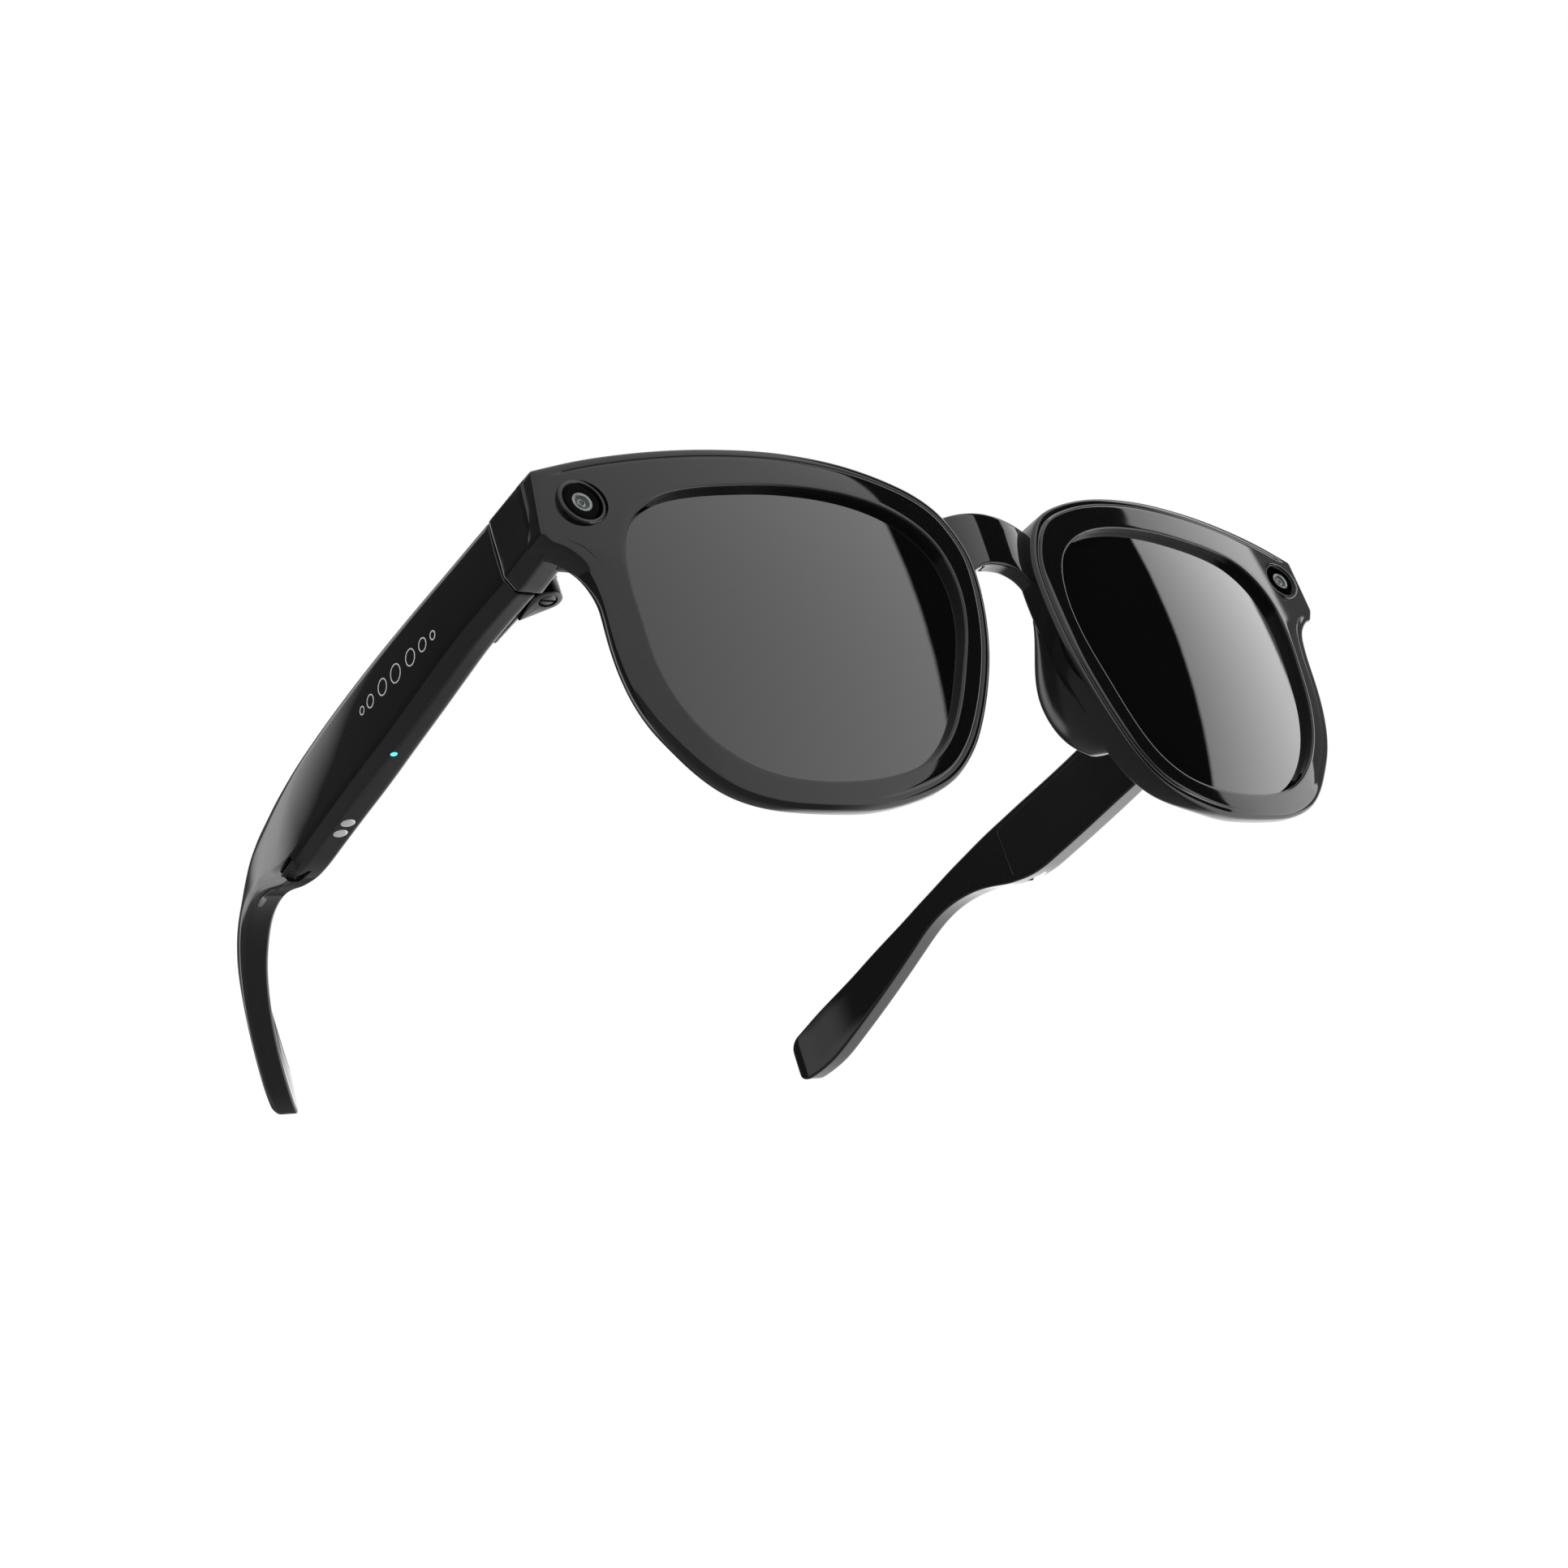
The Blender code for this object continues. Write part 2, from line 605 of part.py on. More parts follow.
def build_camera_module(parts, cutters):
    """The lens barrel just behind the window, on a square sensor body."""
    x, z = CAMERA_X, CAMERA_HEIGHT
    start = CAMERA_FACE_Y + BEZEL_PROUD + WINDOW_THICKNESS + GAP
    body_front = CAMERA_FACE_Y + MODULE_FROM_FACE
    ends = ((x, start, z), (x, body_front + JOIN, z))
    module = cylinder("camera_module_left", *ends, WINDOW_RADIUS - BARREL_MARGIN, parts)
    half = MODULE_SIZE / 2
    low, high = cavity_box()
    back = high[1] - COVER_THICKNESS - 2 * GAP
    shift = min(0.0, high[0] - GAP - (x + half))
    body = box("sensor_body", (x - half + shift, body_front, z - half), (x + half + shift, back, z + half), cutters)
    combine(module, body, "UNION")
    return settle(module)


def build_end_cover(parts, cutters):
    low, high = cavity_box()
    low = (low[0] + GAP, high[1] - COVER_THICKNESS, low[2] + GAP)
    high = (high[0] - GAP, high[1], high[2] - GAP)
    return box("endpiece_cover_left", low, high, parts, bevel=0.15 * MM)


def build_flex(parts):
    low = FRONT_THICKNESS - CHANNEL_DEPTH + GAP
    return channel_ribbon(
        "front_flex_cable", CHANNEL_HEIGHT - 2 * GAP, low, low + FLEX_THICKNESS, parts, trim=1.5 * MM
    )


def build_flex_cover(parts):
    """The strip over the flex cable. It stops short of the corner boxes."""
    low = FRONT_THICKNESS - STRIP_THICKNESS
    trim = CORNER_BOX_INSET + GAP - (1 - CHANNEL_HALF_PATH[-1][0]) * HALF_WIDTH + 0.6 * MM
    height = CHANNEL_HEIGHT - 2 * GAP
    return channel_ribbon("flex_channel_strip", height, low, FRONT_THICKNESS, parts, trim=trim)


# ---------------------------------------------------------------- hinges


def build_hinge_bracket(parts, cutters):
    """The front's half of a hinge: a foot on the arm's inner face, and the middle barrel."""
    back = SEAM_Y - 2 * SEAM_GAP
    low_y = back - BRACKET_LENGTH
    outer = HALF_WIDTH - ARM_INNER - GAP
    inner = outer - 1.2 * MM
    foot_bottom = HINGE_BOTTOM + 0.9 * MM
    foot_top = HINGE_TOP - 0.4 * MM
    foot = box("hinge_bracket_left", (inner, low_y, foot_bottom), (outer, back, foot_top), parts)
    middle = (HINGE_BOTTOM + HINGE_TOP) / 2
    points = []
    for z in (middle - MIDDLE_BARREL / 2, middle + MIDDLE_BARREL / 2):
        points += circle_points(HINGE_X, HINGE_Y, z, BARREL_RADIUS)
        points += [(inner, low_y + MM, z), (outer - 0.2 * MM, low_y + MM, z), (outer - 0.2 * MM, back, z)]
    barrel = hull("middle_barrel", points, cutters)
    combine(foot, barrel, "UNION")
    combine(foot, hinge_bore(cutters), "DIFFERENCE")
    return settle(foot)


def hinge_bore(cutters):
    ends = ((HINGE_X, HINGE_Y, HINGE_BOTTOM - MM), (HINGE_X, HINGE_Y, HINGE_TOP + MM))
    return cylinder("hinge_bore", *ends, SCREW_RADIUS + SCREW_PLAY, cutters)


def build_hinge_leaf(parts, cutters):
    """The temple's half of a hinge: a leaf on its inner face, with an upper and a lower barrel."""
    front = HINGE_Y + BARREL_RADIUS + GAP
    low, high = HINGE_BOTTOM + 0.4 * MM, HINGE_TOP - 0.4 * MM
    sections = []
    for y in (front, front + LEAF_LENGTH):
        outer = temple_inner(temple_share(y - SEAM_Y)) - GAP
        inner = outer - LEAF_THICKNESS
        sections.append([(inner, y, low), (outer, y, low), (outer, y, high), (inner, y, high)])
    leaf = loft("hinge_leaf_left", sections, parts)
    outer = sections[0][1][0]
    middle = (HINGE_BOTTOM + HINGE_TOP) / 2
    inner_ends = (middle - MIDDLE_BARREL / 2 - GAP, middle + MIDDLE_BARREL / 2 + GAP)
    for name, ends in (
        ("lower_barrel", (HINGE_BOTTOM, inner_ends[0])),
        ("upper_barrel", (inner_ends[1], HINGE_TOP)),
    ):
        points = []
        for z in ends:
            points += circle_points(HINGE_X, HINGE_Y, z, BARREL_RADIUS)
            points += [(outer - 0.2 * MM, HINGE_Y, z), (outer - 0.2 * MM, front + 2.2 * MM, z)]
        combine(leaf, hull(name, points, cutters), "UNION")
    combine(leaf, hinge_bore(cutters), "DIFFERENCE")
    seat = cylinder(
        "screw_head_seat",
        (HINGE_X, HINGE_Y, HINGE_BOTTOM - MM),
        (HINGE_X, HINGE_Y, HINGE_BOTTOM + SCREW_HEAD_HEIGHT + SCREW_PLAY),
        SCREW_HEAD_RADIUS + SCREW_PLAY,
        cutters,
    )
    combine(leaf, seat, "DIFFERENCE")
    return settle(leaf)


def build_hinge_screw(parts, cutters):
    """A slotted screw, put in from below."""
    x, y = HINGE_X, HINGE_Y
    head_top = HINGE_BOTTOM + SCREW_HEAD_HEIGHT
    head = cylinder("hinge_screw_left", (x, y, HINGE_BOTTOM), (x, y, head_top), SCREW_HEAD_RADIUS, parts)
    shaft = cylinder("screw_shaft", (x, y, head_top - 0.2 * MM), (x, y, HINGE_TOP - 0.2 * MM), SCREW_RADIUS, cutters)
    combine(head, shaft, "UNION")
    half = SCREW_SLOT_WIDTH / 2
    reach = 2 * SCREW_HEAD_RADIUS
    slot = box(
        "screw_slot",
        (x - reach, y - half, HINGE_BOTTOM - MM),
        (x + reach, y + half, HINGE_BOTTOM + SCREW_SLOT_DEPTH),
        cutters,
    )
    combine(head, slot, "DIFFERENCE")
    return settle(head)


# ---------------------------------------------------------------- temples

read_spread = curve_through(OUTER_SPREAD, MM)
read_thickness = curve_through(THICKNESS, MM)
read_drop = curve_through(TOP_DROP, MM)
read_depth = curve_through(BOTTOM_DEPTH, MM)
read_bevel = curve_through(UPPER_BEVEL, MM)


def temple_y(share):
    """The place behind the seam of a share of the temple: the body and the ear stem each have their own."""
    if share <= BODY_SHARE:
        return SEAM_Y + share / BODY_SHARE * BODY_LENGTH
    return SEAM_Y + BODY_LENGTH + (share - BODY_SHARE) / (1 - BODY_SHARE) * (TEMPLE_LENGTH - BODY_LENGTH)


def temple_share(from_seam):
    """The share of the temple at a distance behind the seam: the inverse of temple_y."""
    if from_seam <= BODY_LENGTH:
        return from_seam / BODY_LENGTH * BODY_SHARE
    return BODY_SHARE + (from_seam - BODY_LENGTH) / (TEMPLE_LENGTH - BODY_LENGTH) * (1 - BODY_SHARE)


def temple_outer(share):
    return HALF_WIDTH + read_spread(share)


def temple_inner(share):
    return temple_outer(share) - read_thickness(share)


def temple_top(share):
    return TEMPLE_TOP - read_drop(share)


def temple_bottom(share):
    return TEMPLE_TOP - read_depth(share)


def temple_section(share):
    """Ring of the temple's skin: flat inside, crowned outside, bevelled above and below the crown."""
    y = temple_y(share)
    outer, inner = temple_outer(share), temple_inner(share)
    top, bottom = temple_top(share), temple_bottom(share)
    upper = read_bevel(share)
    middle = (top - upper + bottom + LOWER_BEVEL_HEIGHT) / 2
    return [
        (inner, y, bottom + EDGE_BEVEL),
        (inner + EDGE_BEVEL, y, bottom),
        (outer - LOWER_BEVEL_WIDTH, y, bottom),
        (outer, y, bottom + LOWER_BEVEL_HEIGHT),
        (outer + FACE_CROWN, y, middle),
        (outer, y, top - upper),
        (outer - 0.2 * MM - 0.4 * upper, y, top),
        (inner + EDGE_BEVEL, y, top),
        (inner, y, top - EDGE_BEVEL),
    ]


def pocket_stations(trim=0.0):
    return np.linspace(POCKET_START + temple_share(trim), BODY_SHARE - temple_share(trim), 9)


def pocket_section(share, low_x, high_x, spare):
    """A rectangle in the hollow, with its top and bottom spare inside the walls."""
    y = temple_y(share)
    bottom = temple_bottom(share) + SHELL_WALL + spare
    top = temple_top(share) - SHELL_WALL - spare
    return [(low_x, y, bottom), (high_x, y, bottom), (high_x, y, top), (low_x, y, top)]


def core_section(share, thickness, height):
    y = temple_y(share)
    x = (temple_outer(share) + temple_inner(share)) / 2
    z = (temple_top(share) + temple_bottom(share)) / 2
    a, b = thickness / 2, height / 2
    return [(x - a, y, z - b), (x + a, y, z - b), (x + a, y, z + b), (x - a, y, z + b)]


def build_shell(parts, cutters):
    """The temple's outer moulding with its ear stem, hollow from the hinge to the hip."""
    shell = loft("temple_shell_left", [temple_section(t) for t in TEMPLE_STATIONS], parts)
    pocket = loft(
        "pocket",
        [
            pocket_section(t, temple_inner(t) - MM, temple_outer(t) - SHELL_WALL, 0.0)
            for t in pocket_stations()
        ],
        cutters,
    )
    combine(shell, pocket, "DIFFERENCE")
    channel = loft(
        "core_channel",
        [
            core_section(t, CORE_THICKNESS + 2 * GAP, CORE_HEIGHT + 2 * GAP)
            for t in np.linspace(BODY_SHARE - 2 * CORE_FROM_POCKET, CORE_END + temple_share(GAP), 14)
        ],
        cutters,
    )
    combine(shell, channel, "DIFFERENCE")
    combine(shell, slot_cutter(cutters), "DIFFERENCE")
    return settle(shell)


def slot_place():
    """Low and high corners of the sound slot in the bottom wall, beside the lower bevel."""
    share = temple_share(SLOT_FROM_SEAM)
    x = temple_outer(share) - LOWER_BEVEL_WIDTH - SLOT_WIDTH - 0.2 * MM
    y = SEAM_Y + SLOT_FROM_SEAM - SLOT_LENGTH / 2
    bottom = temple_bottom(share)
    return (x, y, bottom - 2 * MM), (x + SLOT_WIDTH, y + SLOT_LENGTH, bottom + 2.2 * SHELL_WALL)


def slot_cutter(cutters):
    return box("sound_slot", *slot_place(), cutters)


def build_cover(parts, cutters):
    """The plate that closes the hollow on the wearer's side."""
    sections = [
        pocket_section(t, temple_inner(t), temple_inner(t) + COVER_WALL, GAP) for t in pocket_stations(GAP)
    ]
    return loft("temple_cover_left", sections, parts)


def build_core(parts, cutters):
    shares = np.linspace(BODY_SHARE + CORE_FROM_POCKET, CORE_END, 13)
    return loft("stem_core_left", [core_section(t, CORE_THICKNESS, CORE_HEIGHT) for t in shares], parts)


def inside_block(name, from_seam, length, height, thickness, from_wall, centre, group, span=(0.0, 1.0)):
    """A straight block in the hollow, from_wall inside the outer wall at both of its ends.

    centre is its middle as a share of the hollow's height, and span the stretch of its length to fill.
    """
    shares = (temple_share(from_seam), temple_share(from_seam + length))
    outer = [temple_outer(t) - SHELL_WALL - from_wall for t in shares]
    bottom = max(temple_bottom(t) for t in shares) + SHELL_WALL
    top = min(temple_top(t) for t in shares) - SHELL_WALL
    z = bottom + centre * (top - bottom)
    low, high = z - height / 2, z + height / 2
    sections = []
    for t in span:
        y = SEAM_Y + from_seam + t * length
        far = outer[0] + t * (outer[1] - outer[0])
        near = far - thickness
        sections.append([(near, y, low), (far, y, low), (far, y, high), (near, y, high)])
    return loft(name, sections, group)


def build_battery(parts, cutters):
    sizes = (BATTERY_LENGTH, BATTERY_HEIGHT, BATTERY_THICKNESS)
    return inside_block("battery_left", BATTERY_FROM_SEAM, *sizes, GAP, 0.56, parts)


def build_board(parts, cutters):
    """The circuit board with its two shielded chips, on the side away from the outer wall."""
    wall = TOUCH_THICKNESS + 2 * GAP
    sizes = (BOARD_LENGTH, BOARD_HEIGHT, BOARD_THICKNESS)
    board = inside_block("circuit_board_left", BOARD_FROM_SEAM, *sizes, wall, 0.5, parts)
    for i, span in enumerate(SHIELD_SPANS):
        sizes = (BOARD_LENGTH, BOARD_HEIGHT - 2.4 * MM, SHIELD_HEIGHT + BOARD_THICKNESS / 2)
        shield = inside_block(
            "shield_%d" % i, BOARD_FROM_SEAM, *sizes, wall + BOARD_THICKNESS / 2, 0.5, cutters, span
        )
        combine(board, shield, "UNION")
    return settle(board)


def build_speaker(parts, cutters):
    sizes = (SPEAKER_LENGTH, SPEAKER_HEIGHT, SPEAKER_THICKNESS)
    return inside_block("speaker_left", SPEAKER_FROM_SEAM, *sizes, GAP, 0.5, parts)


def build_grille(parts, cutters):
    """The perforated strip across the sound slot."""
    low, high = slot_place()
    bottom = temple_bottom(temple_share(SLOT_FROM_SEAM)) + 0.5 * SHELL_WALL + 0.3 * MM
    trim = 0.2 * MM
    low = (low[0] + trim, low[1] + trim, bottom)
    high = (high[0] - trim, high[1] - trim, bottom + 0.3 * MM)
    grille = box("speaker_grille_left", low, high, parts)
    for i in range(4):
        y = low[1] + (i + 0.5) * (high[1] - low[1]) / 4
        x = (low[0] + high[0]) / 2
        ends = ((x, y, bottom - MM), (x, y, bottom + 2 * MM))
        combine(grille, cylinder("perforation_%d" % i, *ends, 0.22 * MM, cutters, 8), "DIFFERENCE")
    return settle(grille)


def build_touch_sensor(parts):
    """The touch film: it follows the outer wall's inner face, behind the ring marks."""
    z = (temple_top(POCKET_START) + temple_bottom(POCKET_START)) / 2
    sections = []
    for share in np.linspace(temple_share(TOUCH_FROM_SEAM), temple_share(TOUCH_FROM_SEAM + TOUCH_LENGTH), 6):
        y = temple_y(share)
        far = temple_outer(share) - SHELL_WALL - GAP
        near = far - TOUCH_THICKNESS
        low, high = z - TOUCH_HEIGHT / 2, z + TOUCH_HEIGHT / 2
        sections.append([(near, y, low), (far, y, low), (far, y, high), (near, y, high)])
    sensor = loft("touch_sensor", sections, parts)
    flip(sensor)
    return sensor


def bottom_pin(name, place, radius, head, shank, parts, cutters):
    """A round pin in the bottom wall: a head flush with the bottom face, and a thinner shank above."""
    x, y, bottom = place
    pin = cylinder(name, (x, y, bottom + 0.02 * MM), (x, y, bottom + head), radius, parts, 20)
    ends = ((x, y, bottom + 0.5 * head), (x, y, bottom + shank))
    combine(pin, cylinder(name + "_shank", *ends, 0.6 * radius, cutters, 16), "UNION")
    settle(pin)
    flip(pin)
    return pin


def contact_places():
    places = []
    for i in (0, 1):
        from_seam = CONTACT_FROM_SEAM + (i - 0.5) * CONTACT_PITCH
        share = temple_share(from_seam)
        x = temple_outer(share) - LOWER_BEVEL_WIDTH - 1.75 * MM
        places.append((x, SEAM_Y + from_seam, temple_bottom(share)))
    return places


def led_place():
    share = temple_share(LED_FROM_SEAM)
    x = temple_outer(share) - LOWER_BEVEL_WIDTH - 0.95 * MM
    return x, SEAM_Y + LED_FROM_SEAM, temple_bottom(share)


def button_place():
    """The middle of the button on the left temple's top face, over the middle of the hollow."""
    share = temple_share(BUTTON_FROM_SEAM)
    x = (temple_inner(share) + COVER_WALL + temple_outer(share) - SHELL_WALL) / 2
    return x, SEAM_Y + BUTTON_FROM_SEAM, temple_top(share)


def button_box(grow_x, grow_y, z_low, z_high):
    """Corners of a box round the button's place."""
    x, y, _ = button_place()
    a = BUTTON_WIDTH / 2 + grow_x
    b = BUTTON_LENGTH / 2 + grow_y
    return (x - a, y - b, z_low), (x + a, y + b, z_high)


def build_button(parts, cutters):
    """The capture button: a cap in the top wall, kept in by a flange under it."""
    top = button_place()[2]
    under = top - SHELL_WALL - GAP
    cap = box("capture_button", *button_box(0, 0, under - BUTTON_FLANGE / 2, top + BUTTON_PROUD), parts, 0.2 * MM)
    corners = button_box(BUTTON_FLANGE / 4, BUTTON_FLANGE, under - BUTTON_FLANGE, under)
    combine(cap, box("button_flange", *corners, cutters), "UNION")
    settle(cap)
    flip(cap)
    return cap


def cut_right_openings(shell, cutters):
    """The right temple's own holes: contacts, status light and capture button."""
    for i, (x, y, bottom) in enumerate(contact_places()):
        ends = ((x, y, bottom - MM), (x, y, bottom + SHELL_WALL + MM))
        combine(shell, cylinder("contact_hole_%d" % i, *ends, CONTACT_RADIUS + GAP / 2, cutters, 20), "DIFFERENCE")
    x, y, bottom = led_place()
    ends = ((x, y, bottom - MM), (x, y, bottom + SHELL_WALL + MM))
    combine(shell, cylinder("light_hole", *ends, LED_RADIUS + GAP / 2, cutters, 16), "DIFFERENCE")
    top = button_place()[2]
    hole = box("button_hole", *button_box(GAP / 2, GAP / 2, top - SHELL_WALL - MM, top + MM), cutters)
    combine(shell, hole, "DIFFERENCE")
    return settle(shell)


# ---------------------------------------------------------------- assembly


def pivot(name, place, parent, group):
    empty = bpy.data.objects.new(name, None)
    empty.empty_display_size = 5 * MM
    group.objects.link(empty)
    empty.parent = parent
    empty.location = Vector(place) - (Vector(parent["place"]) if parent else Vector())
    empty["place"] = place
    return empty


def hang(obj, empty, look):
    """Gives a piece its material, and parents it to its joint without moving it."""
    obj.parent = empty
    obj.matrix_parent_inverse = Matrix.Translation(-Vector(empty["place"]))
    obj.data.materials.clear()
    obj.data.materials.append(look)
    for face in obj.data.polygons:
        face.use_smooth = False


def stand_on_ground(root, objects):
    """Moves the root so that the whole stands on z = 0 with its middle above the origin."""
    corners = np.concatenate([np.array([v.co for v in obj.data.vertices]) for obj in objects])
    low, high = corners.min(axis=0), corners.max(axis=0)
    root.location = (0.0, -(low[1] + high[1]) / 2, -low[2])


def main():
    clear_scene()
    parts = collection("camera_glasses")
    cutters = collection("cutters")
    acetate = material("black_acetate", (0.012, 0.012, 0.013), 0.12)
    inner_black = material("inner_black", (0.014, 0.014, 0.015), 0.35)
    tinted = material("tinted_lens", (0.05, 0.05, 0.055), 0.05)
    pad_black = material("pad_black", (0.015, 0.015, 0.016), 0.2)
    window_black = material("window_black", (0.003, 0.003, 0.003), 0.04)
    bezel_metal = material("bezel_metal", (0.09, 0.09, 0.095), 0.3, 0.9)
    optics = material("optics", (0.25, 0.28, 0.27), 0.2, 0.4)
    hinge_metal = material("hinge_metal", (0.12, 0.12, 0.125), 0.32, 1.0)
    core_metal = material("core_metal", (0.6, 0.6, 0.6), 0.3, 1.0)
    copper_film = material("copper_film", (0.5, 0.25, 0.08), 0.4, 0.4)
    board_green = material("board_green", (0.02, 0.12, 0.06), 0.5)
    cell_silver = material("cell_silver", (0.55, 0.56, 0.58), 0.4, 0.7)
    grille_metal = material("grille_metal", (0.02, 0.02, 0.02), 0.4, 0.8)
    contact_metal = material("contact_metal", (0.8, 0.8, 0.8), 0.2, 1.0)
    light_blue = material("light_blue", (0.1, 0.8, 0.9), 0.3)

    root = pivot("glasses_origin", (0, 0, 0), None, parts)
    front = pivot("front_body", (0, 0, 0), root, parts)
    middle = (HINGE_BOTTOM + HINGE_TOP) / 2
    temple = {
        "left": pivot("left_hinge_axis", (HINGE_X, HINGE_Y, middle), root, parts),
        "right": pivot("right_hinge_axis", (-HINGE_X, HINGE_Y, middle), root, parts),
    }

    pieces = [(build_front(parts, cutters), front, acetate)]
    pieces.append((build_flex(parts), front, copper_film))
    pieces.append((build_flex_cover(parts), front, inner_black))
    for make, look in (
        (build_lens, tinted),
        (build_nose_pad, pad_black),
        (build_bezel, bezel_metal),
        (build_window, window_black),
        (build_camera_module, optics),
        (build_end_cover, inner_black),
        (build_hinge_bracket, hinge_metal),
    ):
        left = make(parts, cutters)
        pieces.append((left, front, look))
        pieces.append((mirrored(left, left.name.replace("_left", "_right"), parts), front, look))

    for make, look in (
        (build_shell, acetate),
        (build_cover, inner_black),
        (build_core, core_metal),
        (build_hinge_leaf, hinge_metal),
        (build_hinge_screw, hinge_metal),
        (build_battery, cell_silver),
        (build_board, board_green),
        (build_speaker, grille_metal),
        (build_grille, grille_metal),
    ):
        left = make(parts, cutters)
        right = mirrored(left, left.name.replace("_left", "_right"), parts)
        pieces.append((left, temple["left"], look))
        pieces.append((right, temple["right"], look))
        if make is build_shell:
            right_shell = right

    flip(right_shell)
    cut_right_openings(right_shell, cutters)
    flip(right_shell)
    pieces.append((build_touch_sensor(parts), temple["right"], copper_film))
    pin_sizes = (PIN_HEAD_HEIGHT, SHELL_WALL + PIN_HEAD_HEIGHT)
    for name, place in zip(("charging_contact_front", "charging_contact_rear"), contact_places()):
        contact = bottom_pin(name, place, CONTACT_RADIUS, *pin_sizes, parts, cutters)
        pieces.append((contact, temple["right"], contact_metal))
    light = bottom_pin("status_light", led_place(), LED_RADIUS, *pin_sizes, parts, cutters)
    pieces.append((light, temple["right"], light_blue))

    x, y, z = button_place()
    button_axis = pivot("button_axis", (-x, y, z), temple["right"], parts)
    pieces.append((build_button(parts, cutters), button_axis, acetate))

    for obj, empty, look in pieces:
        hang(obj, empty, look)
    stand_on_ground(root, [obj for obj, _, _ in pieces])


main()
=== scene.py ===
import json
import math

import bpy
import numpy as np
from mathutils import Matrix


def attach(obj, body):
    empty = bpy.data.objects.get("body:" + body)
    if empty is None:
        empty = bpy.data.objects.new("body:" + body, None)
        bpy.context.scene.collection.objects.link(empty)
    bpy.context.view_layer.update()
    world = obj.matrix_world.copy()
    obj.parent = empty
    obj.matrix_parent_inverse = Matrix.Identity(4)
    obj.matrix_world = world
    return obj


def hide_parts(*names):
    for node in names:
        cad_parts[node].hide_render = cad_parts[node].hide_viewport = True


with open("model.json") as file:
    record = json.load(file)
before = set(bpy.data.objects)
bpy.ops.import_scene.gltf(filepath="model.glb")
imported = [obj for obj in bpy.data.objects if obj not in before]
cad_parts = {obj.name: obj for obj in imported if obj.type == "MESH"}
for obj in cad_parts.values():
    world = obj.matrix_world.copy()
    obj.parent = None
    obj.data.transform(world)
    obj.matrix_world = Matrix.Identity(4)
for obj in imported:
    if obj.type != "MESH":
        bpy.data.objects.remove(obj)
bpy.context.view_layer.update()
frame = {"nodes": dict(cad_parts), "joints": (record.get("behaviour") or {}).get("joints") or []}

# ------------------------------------------------------------------------------------------------
# Rims. Each is machined and tumbled from black acetate: a slab 4.4 mm thick, dished to the face's
# curve, with a soft lip at the lens, a crest down the nose side and a hairline groove along its
# outer edge. Its upper outer corner widens into the flat that carries a camera.
RIM_THICKNESS = 4.4
LOW_SIDE_THINNER = 0.9
GROOVE_DEPTH = 0.16
NOSE_CREST = 0.15
TEMPLE_CREST = 0.2
FACE_START = 0.5
FACE_BOW_ACROSS = 0.001172
FACE_BOW_UPRIGHT = 0.0018
FACE_SLANT = 0.012
# The round of the back edge: its reach at most places, and what the low temple side adds.
ROUND_IN = (0.5, 1.1)
ROUND_FORWARD = (0.5, 2.0)
# Lines are (x, z), seen from in front.
RIM_OUTLINE = [
    (72.30, 10.90), (71.20, 10.75), (69.99, 9.67), (68.31, 8.06), (67.57, 5.63), (67.07, 2.51),
    (66.98, -0.05), (66.88, -2.37), (66.29, -7.12), (65.12, -11.41), (63.49, -14.87), (61.15, -18.08),
    (58.09, -21.62), (54.85, -24.25), (51.09, -25.96), (47.36, -26.89), (43.02, -27.35), (38.00, -27.60),
    (34.26, -27.60), (27.31, -26.40), (19.25, -22.92), (14.87, -18.47), (11.96, -13.61), (9.96, -9.34),
    (8.19, -4.72), (6.78, 0.60), (6.08, 4.93), (5.80, 8.39), (5.92, 12.15), (7.37, 16.54),
    (9.35, 19.85), (12.49, 22.45), (17.04, 24.60), (23.24, 26.48), (32.55, 27.72), (44.72, 27.65),
    (58.91, 26.00), (66.26, 24.50), (72.92, 22.61),
]
RIM_CORNER = (73.6, 12.8)
LENS_OPENING = [
    (62.4, 0.0), (62.8, 6.8), (61.4, 13.6), (56.4, 18.7), (49.4, 20.7), (43.1, 21.4), (37.5, 21.8),
    (31.7, 21.7), (25.3, 21.0), (18.3, 18.8), (12.6, 14.2), (10.6, 7.2), (11.5, 0.0), (13.9, -6.3),
    (16.4, -12.2), (19.9, -17.7), (25.0, -21.4), (31.3, -23.1), (37.5, -23.6), (43.8, -23.3),
    (50.1, -21.7), (55.5, -18.0), (59.6, -12.6), (61.8, -6.5),
]
RIM_MIDDLE = np.array([37.0, -1.0])


def through(points, closed, steps=40):
    """A line through points: cubic between neighbours, each slope the mean of those on its two sides."""
    points = np.asarray(points, float)
    if closed:
        points = np.vstack([points, points[:1]])
    lengths = np.linalg.norm(np.diff(points, axis=0), axis=1)
    at = np.concatenate([[0.0], np.cumsum(lengths)])
    slopes = np.gradient(points, at, axis=0)
    if closed:
        ends = (points[1] - points[-2]) / (lengths[0] + lengths[-1])
        slopes[0] = slopes[-1] = ends
    u = np.linspace(0.0, 1.0, steps, endpoint=False)[None, :, None]
    a, b = points[:-1, None], points[1:, None]
    sa, sb = slopes[:-1, None], slopes[1:, None]
    span = lengths[:, None, None]
    line = (
        a * (1 + 2 * u) * (1 - u) ** 2 + b * u * u * (3 - 2 * u)
        + span * (sa * u * (1 - u) ** 2 + sb * u * u * (u - 1))
    ).reshape(-1, points.shape[1])
    return line if closed else np.vstack([line, points[-1:]])


